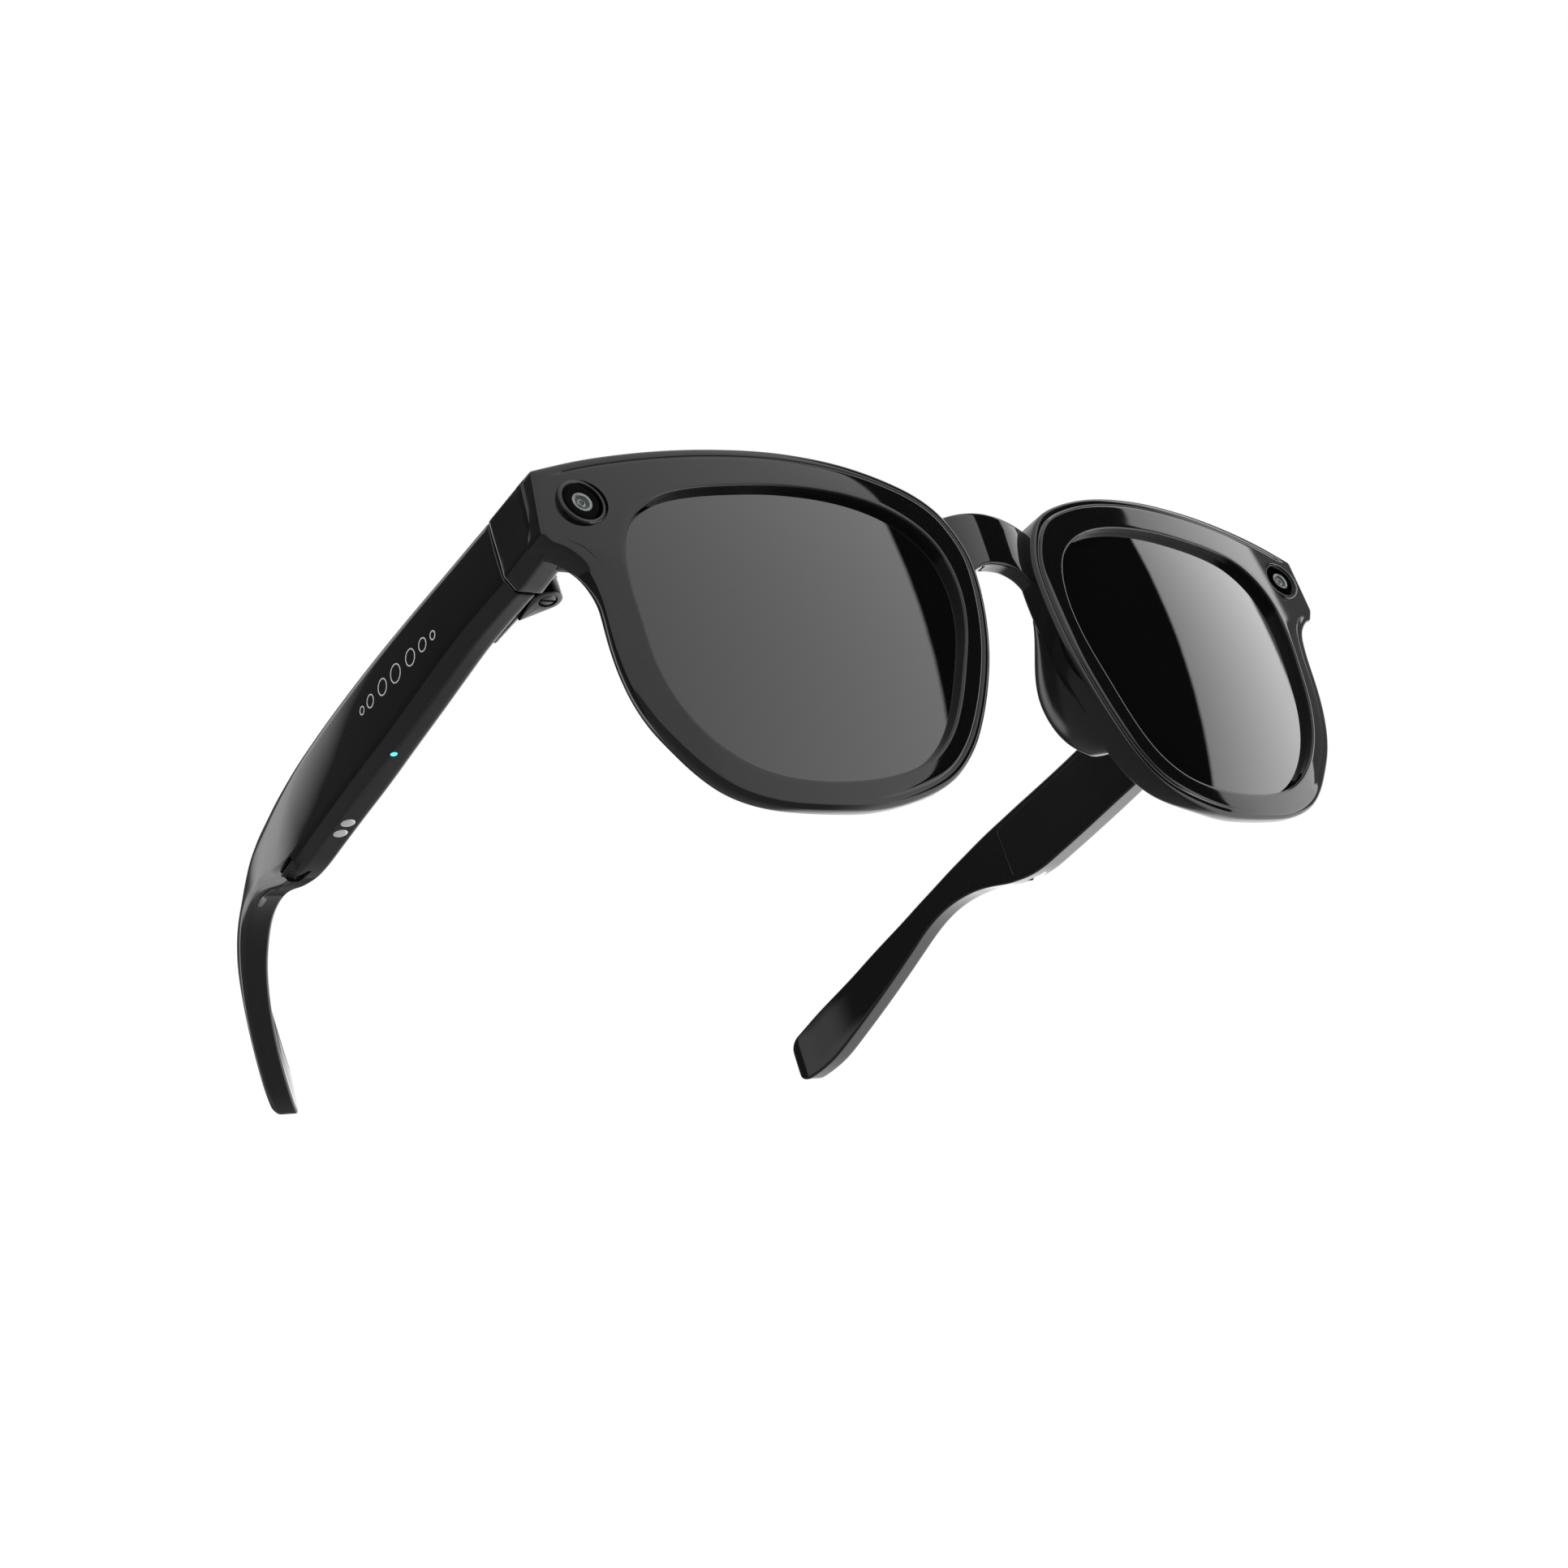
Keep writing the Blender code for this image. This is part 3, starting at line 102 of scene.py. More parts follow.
def evenly(line, count, closed):
    """The same line, with points at equal distances along it."""
    if closed:
        line = np.vstack([line, line[:1]])
    at = np.concatenate([[0.0], np.cumsum(np.linalg.norm(np.diff(line, axis=0), axis=1))])
    want = np.linspace(0.0, at[-1], count, endpoint=not closed)
    return np.stack([np.interp(want, at, line[:, k]) for k in range(line.shape[1])], axis=-1)


def softened(values, reach, closed):
    """Each row replaced by the bell-weighted mean of its neighbours, reach rows to one side."""
    half = int(3 * reach) + 1
    bell = np.exp(-0.5 * (np.arange(-half, half + 1) / reach) ** 2)
    bell /= bell.sum()
    if closed:
        padded = np.concatenate([values[-half:], values, values[:half]])
    else:
        first = 2 * values[:1] - values[half:0:-1]
        last = 2 * values[-1:] - values[-2:-half - 2:-1]
        padded = np.concatenate([first, values, last])
    columns = [np.convolve(padded[:, k], bell, mode="valid") for k in range(values.shape[1])]
    return np.stack(columns, axis=-1)


def smooth_line(points, dense, reach, count, closed):
    """A line through points, read at dense even steps, softened over reach of them, read at count."""
    return evenly(softened(evenly(through(points, closed), dense, closed), reach, closed), count, closed)


def inward(line, reach):
    """Unit directions square to a closed line, towards its inside, taken from a softened copy."""
    soft = softened(line, reach, True)
    along = np.roll(soft, -1, axis=0) - np.roll(soft, 1, axis=0)
    along /= np.linalg.norm(along, axis=1)[:, None]
    side = np.stack([-along[:, 1], along[:, 0]], axis=-1)
    area = np.sum(line[:, 0] * np.roll(line[:, 1], -1) - np.roll(line[:, 0], -1) * line[:, 1])
    return side if area > 0 else -side


def ease(low, high, value):
    """0 below low, 1 above high, and a smooth S between."""
    t = np.clip((value - low) / (high - low), 0.0, 1.0)
    return t * t * (3 - 2 * t)


def face_depth(x, z):
    """How far back the front's face lies: a shallow dish, with a term in x squared for the bow
    across, one in z squared for the bow upright, and one in z for its slant."""
    return FACE_START + FACE_BOW_ACROSS * x ** 2 + FACE_BOW_UPRIGHT * z ** 2 + FACE_SLANT * z


def turn_share(line):
    """Where each point of a closed line lies on its way round: half by angle, half by distance."""
    step = np.linalg.norm(np.diff(np.vstack([line, line[:1]]), axis=0), axis=1)
    by_distance = np.concatenate([[0.0], np.cumsum(step)[:-1]]) / step.sum()
    turn = np.unwrap(np.arctan2(line[:, 1] - RIM_MIDDLE[1], line[:, 0] - RIM_MIDDLE[0]))
    by_turn = np.maximum.accumulate(np.abs(turn - turn[0])) / (2 * math.pi)
    return 0.5 * by_distance + 0.5 * by_turn


def started_at_side(line):
    """The closed line rolled so that it starts level with the rim's middle on the temple side."""
    level_point = np.argmin(np.abs(line[:, 1] - RIM_MIDDLE[1]) + 1000 * (line[:, 0] < RIM_MIDDLE[0]))
    line = np.roll(line, -level_point, axis=0)
    return line if line[40, 1] > line[0, 1] else np.roll(line[::-1], 1, axis=0)


def rim_lines(count):
    """The outline and the opening, each with count points that answer one another across the rim."""
    free = softened(evenly(through(RIM_OUTLINE, False), 3000, False), 18, False)
    corner = np.vstack([free, [RIM_CORNER]])
    outline = softened(evenly(corner, 4000, True), 6, True)
    opening = softened(evenly(through(LENS_OPENING, True), 2400, True), 30, True)
    outline, opening = started_at_side(outline), started_at_side(opening)
    bend = np.linalg.norm(np.gradient(inward(outline, 4), axis=0), axis=1)
    weight = 1.0 + 2.5 * np.minimum(bend / 0.03, 1.0)
    share = turn_share(outline)
    crowd = np.concatenate([[0.0], np.cumsum((weight * np.gradient(share))[:-1])])
    wanted = np.interp(np.linspace(0, crowd[-1], count, endpoint=False), crowd, share)
    lines = []
    for line, reach in ((outline, 55), (opening, 60)):
        own = turn_share(line)
        side = inward(line, reach)
        both = np.hstack([line, side])
        columns = [np.interp(wanted, own, both[:, k], period=1.0) for k in range(4)]
        lines.append(np.stack(columns, axis=-1))
    return lines


# Lip and edge: (distance in from the opening or the outline, depth). Groove: (distance in, share of
# its depth). The groove's inner side is where the rim's plain face ends.
LIP = [(0.0, 0.32), (0.025, 0.2), (0.08, 0.1), (0.16, 0.04), (0.27, 0.01), (0.4, 0.0)]
EDGE = [(0.9, 0.0), (0.6, 0.012), (0.42, 0.05), (0.27, 0.12), (0.14, 0.22), (0.05, 0.34), (0.0, 0.5)]
GROOVE = [(1.85, 0.0), (1.62, 0.10), (1.5, 0.55), (1.42, 1.0), (1.34, 0.9), (1.22, 0.35), (1.08, 0.2)]


def rim_columns():
    """The columns in order: front lip, face, groove, edge, wall, back edge, back and back lip.

    Each holds the share of the way from opening to outline, distance outside the opening, distance
    inside the outline, depth behind the face, depth of groove, depth beside the crest, and how much
    of the wide round of the back edge it takes, inwards and forwards.
    """
    lip, groove, steep = LIP[-1][0], GROOVE[0][0], 0.35
    columns = []
    for d, h in LIP:
        columns.append((0, d, 0, h, 0, 0, 0, 0))
    for t in np.linspace(0.0, 1.0, 14)[1:-1]:
        columns.append((t, lip * (1 - t), groove * t, 0, 0, t, 0, 0))
    for d, g in GROOVE:
        columns.append((1, 0, d, 0, g, 1 + steep * (groove - d), 0, 0))
    for d, h in EDGE:
        columns.append((1, 0, d, h, 0.15, 1 + steep * (groove - d), 0, 0))
    for turn in np.linspace(0.0, math.pi / 2, 12):
        columns.append((1, 0, 0, RIM_THICKNESS, 0, 0, 1 - math.cos(turn), 1 - math.sin(turn)))
    for t in np.linspace(1.0, 0.0, 8)[1:-1]:
        columns.append((t, lip * (1 - t), 0.0, RIM_THICKNESS, 0, 0, t, 0))
    for d, h in LIP[::-1]:
        columns.append((0, d, 0, RIM_THICKNESS - h, 0, 0, 0, 0))
    for h in (0.7, 0.45, 0.25):
        columns.append((0, 0, 0, h * RIM_THICKNESS, 0, 0, 0, 0))
    return np.array(columns, float).T


def rim_surface(count):
    """The rim as rows round the lens and columns across its section.

    A point is the mean of one beside the opening and one beside the outline, weighted by its share,
    each moved square to its own line. Its depth is the face's, plus the column's own depth, plus the
    groove and the crest where those run. The low temple side is thinner, with a wider back edge,
    and that round closes up where the arm meets the rim.
    """
    outline, opening = rim_lines(count)
    edge_x, edge_z = outline[:, :1], outline[:, 1:2]
    share, from_opening, from_outline, depth, groove, crest, round_in, round_forward = rim_columns()
    low_side = (1.0 - ease(2.0, 12.0, edge_z)) * ease(14.0, 30.0, edge_x)
    joint = 1.0 - 0.9 * ease(69.5, 71.8, edge_x) * ease(10.0, 11.2, edge_z)
    thinner = np.where(depth > 0.5 * RIM_THICKNESS, depth - LOW_SIDE_THINNER * low_side, depth)
    from_outline = from_outline + (ROUND_IN[0] + ROUND_IN[1] * low_side) * joint * round_in
    depth = thinner - (ROUND_FORWARD[0] + ROUND_FORWARD[1] * low_side) * joint * round_forward
    near_lens = opening[:, None, :2] - opening[:, None, 2:] * from_opening[:, None]
    near_edge = outline[:, None, :2] + outline[:, None, 2:] * from_outline[..., None]
    flat = near_lens * (1 - share)[:, None] + near_edge * share[:, None]
    x, z = flat[..., 0], flat[..., 1]
    nose_side = 1.0 - ease(15.0, 42.0, edge_x)
    brow = ease(14.0, 20.0, edge_z) * (1.0 - ease(68.5, 71.5, edge_x))
    groove_depth = GROOVE_DEPTH * np.maximum(brow, nose_side)
    temple_side = ease(56.0, 64.0, edge_x) * (1.0 - ease(6.0, 12.0, edge_z))
    crest_depth = NOSE_CREST * nose_side + TEMPLE_CREST * temple_side
    y = face_depth(x, z) + depth + groove * groove_depth + crest * crest_depth
    return np.stack([x, y, z], axis=-1)


def turned(profile, middle, steps, axis="Y"):
    """A round solid: a profile of (radius, distance along the axis) turned about an axis through
    middle. At each angle a point lies its radius out, by the angle's cosine and sine."""
    profile = np.asarray(profile, float)
    angle = np.linspace(0.0, 2 * math.pi, steps, endpoint=False)[None, :]
    radius, along = profile[:, :1], profile[:, 1:] + 0 * angle
    if axis == "Y":
        points = np.stack([radius * np.cos(angle), along, radius * np.sin(angle)], axis=-1)
    else:
        points = np.stack([radius * np.cos(angle), radius * np.sin(angle), along], axis=-1)
    return points + np.asarray(middle)


# Places come from one drawing of the glasses in millimetres, with the temples level. Its origin is
# the middle of the bridge's front, and the left hinge axis stands at HINGE. The front is drawn flat
# and leaned back by FRONT_LEAN. Left-hand pieces are drawn, and right-hand ones are mirrored.
MM = 0.001
HINGE = np.array([66.8, 18.4, 17.0])
FRONT_LEAN = math.radians(6.7)
left_hinge = next(joint for joint in frame["joints"] if joint["name"] == "left_temple_fold")
DRAWING_ORIGIN = np.array(left_hinge["pos_m"]) - HINGE * MM


def level(points):
    """Drawing millimetres to metres in the model: scaled, then shifted so that the hinge axes meet."""
    return np.asarray(points, float) * MM + DRAWING_ORIGIN


def leaned(points):
    """Points of the flat front to the model: turned about X by the lean, then placed like the rest."""
    points = np.asarray(points, float)
    c, s = math.cos(FRONT_LEAN), math.sin(FRONT_LEAN)
    tipped = points.copy()
    tipped[..., 1] = points[..., 1] * c - points[..., 2] * s
    tipped[..., 2] = points[..., 1] * s + points[..., 2] * c
    return level(tipped)


def other_side(points):
    """The same points mirrored in the plane between the two lenses."""
    return points * np.array([-1.0, 1.0, 1.0])


SIDES = (("left", np.asarray), ("right", other_side))


def skin(name, points, along=False, ends=True):
    """A surface through an array of points, rows along the piece and columns round its section.

    The last column joins the first, and with along the last row joins the first too. ends closes
    the first and last rows, each with a fan to the mean of its points. Faces are turned outwards by
    the sign of the enclosed volume.
    """
    rows, columns = points.shape[:2]
    grid = np.arange(rows * columns).reshape(rows, columns)
    grid = np.vstack([grid, grid[:1]]) if along else grid
    grid = np.hstack([grid, grid[:, :1]])
    quads = np.stack([grid[:-1, :-1], grid[1:, :-1], grid[1:, 1:], grid[:-1, 1:]], axis=-1)
    quads = quads.reshape(-1, 4)
    cloud = points.reshape(-1, 3)
    fans = np.empty((0, 3), int)
    if ends and not along:
        cloud = np.vstack([cloud, points[0].mean(axis=0), points[-1].mean(axis=0)])
        first, last = grid[0], grid[-1]
        hub = rows * columns
        fans = np.vstack([
            np.stack([first[:-1], first[1:], np.full(len(first) - 1, hub)], axis=-1),
            np.stack([last[1:], last[:-1], np.full(len(last) - 1, hub + 1)], axis=-1),
        ])
    middle = cloud.mean(axis=0)
    a, b, c, d = (cloud[quads[:, k]] - middle for k in range(4))
    volume = np.einsum("ij,ij->", a, np.cross(b, c)) + np.einsum("ij,ij->", a, np.cross(c, d))
    if volume < 0:
        quads, fans = quads[:, ::-1], fans[:, ::-1]
    mesh = bpy.data.meshes.new(name)
    mesh.from_pydata(cloud.tolist(), [], quads.tolist() + fans.tolist())
    mesh.shade_smooth()
    piece = bpy.data.objects.new(name, mesh)
    bpy.context.scene.collection.objects.link(piece)
    return piece


def finish_piece(piece, body, material, slot, *nodes):
    """Gives a piece its material and its body, and hides the CAD nodes it stands for. The slot is not used.
    """
    piece.data.materials.clear()
    piece.data.materials.append(material)
    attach(piece, body)
    if nodes:
        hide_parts(*nodes)
    return piece


def cut(piece, tool):
    """Cuts the tool's shape out of a piece for good, and drops the tool. Sharp new edges stay sharp."""
    modifier = piece.modifiers.new("cut", "BOOLEAN")
    modifier.operation = "DIFFERENCE"
    modifier.object = tool
    bpy.context.view_layer.update()
    graph = bpy.context.evaluated_depsgraph_get()
    piece.data = bpy.data.meshes.new_from_object(piece.evaluated_get(graph))
    piece.modifiers.clear()
    bpy.data.objects.remove(tool)
    piece.data.shade_smooth()
    piece.data.set_sharp_from_angle(angle=math.radians(38))


def handling_marks():
    """Group: fine wiping marks and dust specks. Stretched noise gives the wipes, cells the specks."""
    group = bpy.data.node_groups.new("handling_marks", "ShaderNodeTree")
    for name, value in (("Scale", 120.0), ("Rough Low", 0.05), ("Rough High", 0.12)):
        socket = group.interface.new_socket(name, in_out="INPUT", socket_type="NodeSocketFloat")
        socket.default_value = value
    group.interface.new_socket("Vector", in_out="INPUT", socket_type="NodeSocketVector")
    group.interface.new_socket("Roughness", in_out="OUTPUT", socket_type="NodeSocketFloat")
    group.interface.new_socket("Height", in_out="OUTPUT", socket_type="NodeSocketFloat")
    group.interface.new_socket("Dust", in_out="OUTPUT", socket_type="NodeSocketFloat")
    nodes, links = group.nodes, group.links
    inside = nodes.new("NodeGroupInput")
    outside = nodes.new("NodeGroupOutput")
    stretch = nodes.new("ShaderNodeVectorMath")
    stretch.operation = "MULTIPLY"
    stretch.inputs[1].default_value = (1.0, 0.35, 1.6)
    links.new(inside.outputs["Vector"], stretch.inputs[0])
    wipes = nodes.new("ShaderNodeTexNoise")
    wipes.inputs["Detail"].default_value = 5.0
    links.new(stretch.outputs[0], wipes.inputs["Vector"])
    links.new(inside.outputs["Scale"], wipes.inputs["Scale"])
    rough = nodes.new("ShaderNodeMapRange")
    rough.inputs["From Min"].default_value = 0.35
    rough.inputs["From Max"].default_value = 0.7
    links.new(wipes.outputs["Fac"], rough.inputs["Value"])
    links.new(inside.outputs["Rough Low"], rough.inputs["To Min"])
    links.new(inside.outputs["Rough High"], rough.inputs["To Max"])
    links.new(rough.outputs["Result"], outside.inputs["Roughness"])
    links.new(wipes.outputs["Fac"], outside.inputs["Height"])
    specks = nodes.new("ShaderNodeTexVoronoi")
    specks.inputs["Scale"].default_value = 900.0
    links.new(inside.outputs["Vector"], specks.inputs["Vector"])
    dust = nodes.new("ShaderNodeMapRange")
    dust.inputs["From Min"].default_value = 0.10
    dust.inputs["From Max"].default_value = 0.04
    links.new(specks.outputs["Distance"], dust.inputs["Value"])
    links.new(dust.outputs["Result"], outside.inputs["Dust"])
    return group


MARKS = handling_marks()


def finish(
    name, dark, light, rough, scale=120.0, ior=1.5, metallic=0.0, bump=0.00002,
    dust=0.1, coat=0.0, shine=0.5,
):
    """A finish with its own colours and roughness range. Cloudy noise moves the colour from dark to
    light, the handling marks set the roughness and a faint bump, and dust lifts the colour slightly."""
    made = bpy.data.materials.new(name)
    made.use_nodes = True
    nodes, links = made.node_tree.nodes, made.node_tree.links
    shader = nodes["Principled BSDF"]
    shader.inputs["IOR"].default_value = ior
    shader.inputs["Metallic"].default_value = metallic
    shader.inputs["Coat Weight"].default_value = coat
    shader.inputs["Specular IOR Level"].default_value = shine
    place = nodes.new("ShaderNodeTexCoord")
    marks = nodes.new("ShaderNodeGroup")
    marks.node_tree = MARKS
    marks.inputs["Scale"].default_value = scale
    marks.inputs["Rough Low"].default_value = rough[0]
    marks.inputs["Rough High"].default_value = rough[1]
    links.new(place.outputs["Object"], marks.inputs["Vector"])
    cloud = nodes.new("ShaderNodeTexNoise")
    cloud.inputs["Scale"].default_value = 40.0
    links.new(place.outputs["Object"], cloud.inputs["Vector"])
    blend = nodes.new("ShaderNodeMix")
    blend.data_type = "RGBA"
    blend.inputs["A"].default_value = (*dark, 1.0)
    blend.inputs["B"].default_value = (*light, 1.0)
    links.new(cloud.outputs["Fac"], blend.inputs["Factor"])
    lift = nodes.new("ShaderNodeMath")
    lift.operation = "MULTIPLY"
    lift.inputs[1].default_value = dust
    links.new(marks.outputs["Dust"], lift.inputs[0])
    dusty = nodes.new("ShaderNodeMix")
    dusty.data_type = "RGBA"
    dusty.inputs["B"].default_value = (0.25, 0.25, 0.25, 1.0)
    links.new(lift.outputs[0], dusty.inputs["Factor"])
    links.new(blend.outputs["Result"], dusty.inputs["A"])
    links.new(dusty.outputs["Result"], shader.inputs["Base Color"])
    links.new(marks.outputs["Roughness"], shader.inputs["Roughness"])
    relief = nodes.new("ShaderNodeBump")
    relief.inputs["Strength"].default_value = 0.2
    relief.inputs["Distance"].default_value = bump
    links.new(marks.outputs["Height"], relief.inputs["Height"])
    links.new(relief.outputs["Normal"], shader.inputs["Normal"])
    return made
polished_acetate = finish("polished_acetate", (0.003, 0.003, 0.0032), (0.006, 0.006, 0.0065), (0.02, 0.05))
CAMERA_MIDDLE = np.array([66.9, 4.1, 18.2])
RIM = rim_surface(760)
RECESS = turned([(3.62, -6.0), (3.62, 2.2), (3.5, 2.5)], CAMERA_MIDDLE, 160)
for side, place in SIDES:
    rim = skin("rim_" + side, place(leaned(RIM)), along=True)
    cut(rim, skin("recess_tool", place(level(RECESS))))
    finish_piece(rim, "front_body", polished_acetate, "gloss_black", "front_frame")


# ------------------------------------------------------------------------------------------------
# Bridge. A bar of the same acetate between the rims, set back a little behind them and arched over
# the nose. Its ends run into the rims, and its underside turns down along their nose walls.
BRIDGE_SET_BACK = 1.2
BRIDGE_BOW = 0.0143
BRIDGE_TOP = [
    (-11.5, 18.6), (-8.5, 19.7), (-4.1, 20.9), (0.0, 21.3), (4.1, 20.9), (8.5, 19.7), (11.5, 18.6),
]
BRIDGE_UNDER = [
    (-8.6, 0.0), (-7.4, 4.4), (-6.6, 7.7), (-5.4, 10.2), (-3.2, 11.7), (0.0, 12.2),
    (3.2, 11.7), (5.4, 10.2), (6.6, 7.7), (7.4, 4.4), (8.6, 0.0),
]


def rounded_ring(corners, radii, steps):
    """Rings with rounded corners, one for each row of corners.

    Each corner becomes a parabola that starts and ends its radius away along the two edges, or
    under half of an edge that is short. Between corners, points divide the straight edges.
    """
    corners = np.asarray(corners, float)
    before = np.roll(corners, 1, axis=1) - corners
    after = np.roll(corners, -1, axis=1) - corners
    long_before = np.linalg.norm(before, axis=-1, keepdims=True)
    long_after = np.linalg.norm(after, axis=-1, keepdims=True)
    radii = np.broadcast_to(np.asarray(radii, float)[None, :, None], long_before.shape)
    start = corners + before / long_before * np.minimum(radii, 0.46 * long_before)
    end = corners + after / long_after * np.minimum(radii, 0.46 * long_after)
    u = np.linspace(0.0, 1.0, steps)[None, None, :, None]
    start_side, end_side = (1 - u) ** 2 * start[:, :, None], u * u * end[:, :, None]
    arcs = start_side + 2 * u * (1 - u) * corners[:, :, None] + end_side
    v = np.linspace(0.0, 1.0, 6)[None, None, 1:-1, None]
    following = np.roll(start, -1, axis=1)
    edges = (1 - v) * end[:, :, None] + v * following[:, :, None]
    return np.concatenate([arcs, edges], axis=2).reshape(corners.shape[0], -1, corners.shape[-1])


def set_along(ring, y):
    """Rings of (x, z) made three-dimensional: each row of the section stands at its own y."""
    return np.stack([ring[..., 0], np.broadcast_to(y[:, None], ring.shape[:2]), ring[..., 1]], axis=-1)


def bridge_surface():
    """The bridge: at each step, a rounded section between its top line and its underside line."""
    top = smooth_line(BRIDGE_TOP, 400, 12, 90, False)
    under = smooth_line(BRIDGE_UNDER, 400, 10, 90, False)
    front = np.stack([top, under], axis=1)
    face = face_depth(front[..., 0], front[..., 1])
    y_front = face + BRIDGE_SET_BACK + BRIDGE_BOW * front[..., 0] ** 2
    y_back = face + RIM_THICKNESS - 0.15
    ring = np.stack([
        np.column_stack([top[:, 0], y_front[:, 0], top[:, 1]]),
        np.column_stack([under[:, 0], y_front[:, 1], under[:, 1]]),
        np.column_stack([under[:, 0], y_back[:, 1], under[:, 1]]),
        np.column_stack([top[:, 0], y_back[:, 0], top[:, 1]]),
    ], axis=1)
    return rounded_ring(ring, (0.7, 0.55, 0.9, 0.7), 9)


bridge = skin("bridge", leaned(bridge_surface()))
finish_piece(bridge, "front_body", polished_acetate, "gloss_black", "front_frame")


# ------------------------------------------------------------------------------------------------
# End pieces. Each rim's corner is carried straight back as an arm to the temple's front end, with
# a bevel along its lower outer edge. Inside the arm stands the box that holds the camera module.
ARM_FRONT = 7.4
ARM_BACK = 16.88
# Sections are ((x, z) of a corner, radius of its round).
ARM_SECTION = [
    ((68.4, 11.95), 0.5), ((72.25, 11.95), 0.3), ((73.52, 14.2), 0.35), ((72.98, 23.55), 0.35),
    ((68.4, 23.6), 0.5),
]
ARM_GROWTH = ([12.0, 14.2, 23.6], [0.2, 0.28, 0.82])


def arm_surface():
    """The arm's section carried back, growing outwards to the temple's own face as ARM_GROWTH gives by
    height. Its back edges draw in towards the section's middle."""
    stations = np.array([0.0, 0.2, 0.4, 0.6, 0.8, 0.94, 0.975, 0.992, 1.0])
    shrink = np.array([0, 0, 0, 0, 0, 0, 0.06, 0.18, 0.35])
    corners = np.array([corner for corner, _ in ARM_SECTION])
    middle = corners.mean(axis=0)
    growth = np.interp(corners[:, 1], *ARM_GROWTH) * (corners[:, 0] > middle[0])
    rings = corners[None] + growth[None, :, None] * np.array([1.0, 0.0]) * stations[:, None, None]
    inwards = middle - rings
    rings = rings + inwards / np.linalg.norm(inwards, axis=-1, keepdims=True) * shrink[:, None, None]
    ring = rounded_ring(rings, [radius for _, radius in ARM_SECTION], 7)
    return set_along(ring, ARM_FRONT + (ARM_BACK - ARM_FRONT) * stations)


inner_acetate = finish("inner_acetate", (0.004, 0.004, 0.004), (0.007, 0.007, 0.0072), (0.09, 0.16))
BOX_SECTION = [((61.9, 11.9), 1.0), ((69.6, 11.9), 0.6), ((69.6, 23.0), 0.6), ((61.9, 23.0), 1.0)]


def camera_box_surface():
    """The box behind the camera: a rounded rectangle carried back, with its back edges eased."""
    y = np.array([6.9, 9.0, 11.0, 11.6, 11.85, 12.0])
    shrink = np.array([0.0, 0.0, 0.0, 0.08, 0.25, 0.55])
    corners = np.array([corner for corner, _ in BOX_SECTION])
    middle = corners.mean(axis=0)
    rings = np.broadcast_to(corners, (len(y),) + corners.shape)
    rings = rings + np.sign(middle - rings) * shrink[:, None, None]
    return set_along(rounded_ring(rings, [radius for _, radius in BOX_SECTION], 7), y)


for side, place in SIDES:
    arm = skin("end_piece_" + side, place(level(arm_surface())))
    finish_piece(arm, "front_body", polished_acetate, "gloss_black", "front_frame")
    box = skin("camera_box_" + side, place(level(camera_box_surface())))
    cut(box, skin("recess_tool", place(level(RECESS))))
    finish_piece(box, "front_body", inner_acetate, "gloss_black", "front_frame", "endpiece_cover_" + side)


# ------------------------------------------------------------------------------------------------
# Lenses. Moulded grey polycarbonate 2 mm thick, hard coated with a faint mirror. Each snaps into
# its rim from the back, and sits 1.3 mm behind the face on a curve slightly rounder than the rim's.
LENS_THICKNESS = 2.0
LENS_SETBACK = 1.3
LENS_OWN_CURVE = 0.0004
LENS_TUCK = 0.5


def lens_surface():
    """The lens: rings from its middle out to its edge on the front, over the edge, and back in again.

    Each ring is the opening, let out by LENS_TUCK and shrunk towards the middle by the sine of an
    angle, so that rings crowd at the edge. Its depth is the face's, plus a bowl of its own.
    """
    opening = smooth_line(LENS_OPENING, 1200, 15, 256, True)
    outside = opening - inward(opening, 6) * LENS_TUCK
    middle = np.array([36.5, -1.0])
    reach = np.sin(np.linspace(0.02, math.pi / 2, 30))
    front = middle + (outside - middle)[None] * reach[:, None, None]
    x, z = front[..., 0], front[..., 1]
    own = LENS_OWN_CURVE * ((x - middle[0]) ** 2 + (z - middle[1]) ** 2) - 0.25
    y = face_depth(x, z) + LENS_SETBACK + own
    near = np.stack([x, y, z], axis=-1)
    far = near[::-1] + np.array([0.0, LENS_THICKNESS, 0.0])
    return np.concatenate([near, far])


coated_lens = finish(
    "coated_lens", (0.0015, 0.0015, 0.0016), (0.0022, 0.0022, 0.0024), (0.008, 0.018), 60.0, 1.78, dust=0.02
)
LENS = lens_surface()
for side, place in SIDES:
    lens = skin("lens_glass_" + side, place(leaned(LENS)))
    finish_piece(lens, "front_body", coated_lens, "tinted_lens", "lens_" + side)


# ------------------------------------------------------------------------------------------------
# Nose pads. Moulded black fins, bonded to the rims' nose walls. Each reaches back past the rim and
# in towards the nose, fullest a little below the middle of the rim, with a soft rounded edge.
# PAD_LINE is (height, x and y of the fin's edge). NOSE_WALL picks the outline's points it grows from.
NOSE_WALL = slice(19, 29)
PAD_ROOT_INSIDE = 1.1
PAD_ROOT_DEPTH = 2.3
PAD_HALF_WIDTH = 2.0
PAD_LINE = [
    (8.0, 9.6, 5.4), (5.0, 9.5, 6.7), (2.0, 9.2, 8.4), (-1.5, 9.3, 10.4), (-5.0, 10.1, 12.0),
    (-8.5, 11.3, 12.4), (-12.0, 12.9, 11.8), (-14.5, 14.6, 10.2), (-17.0, 17.0, 7.4),
]


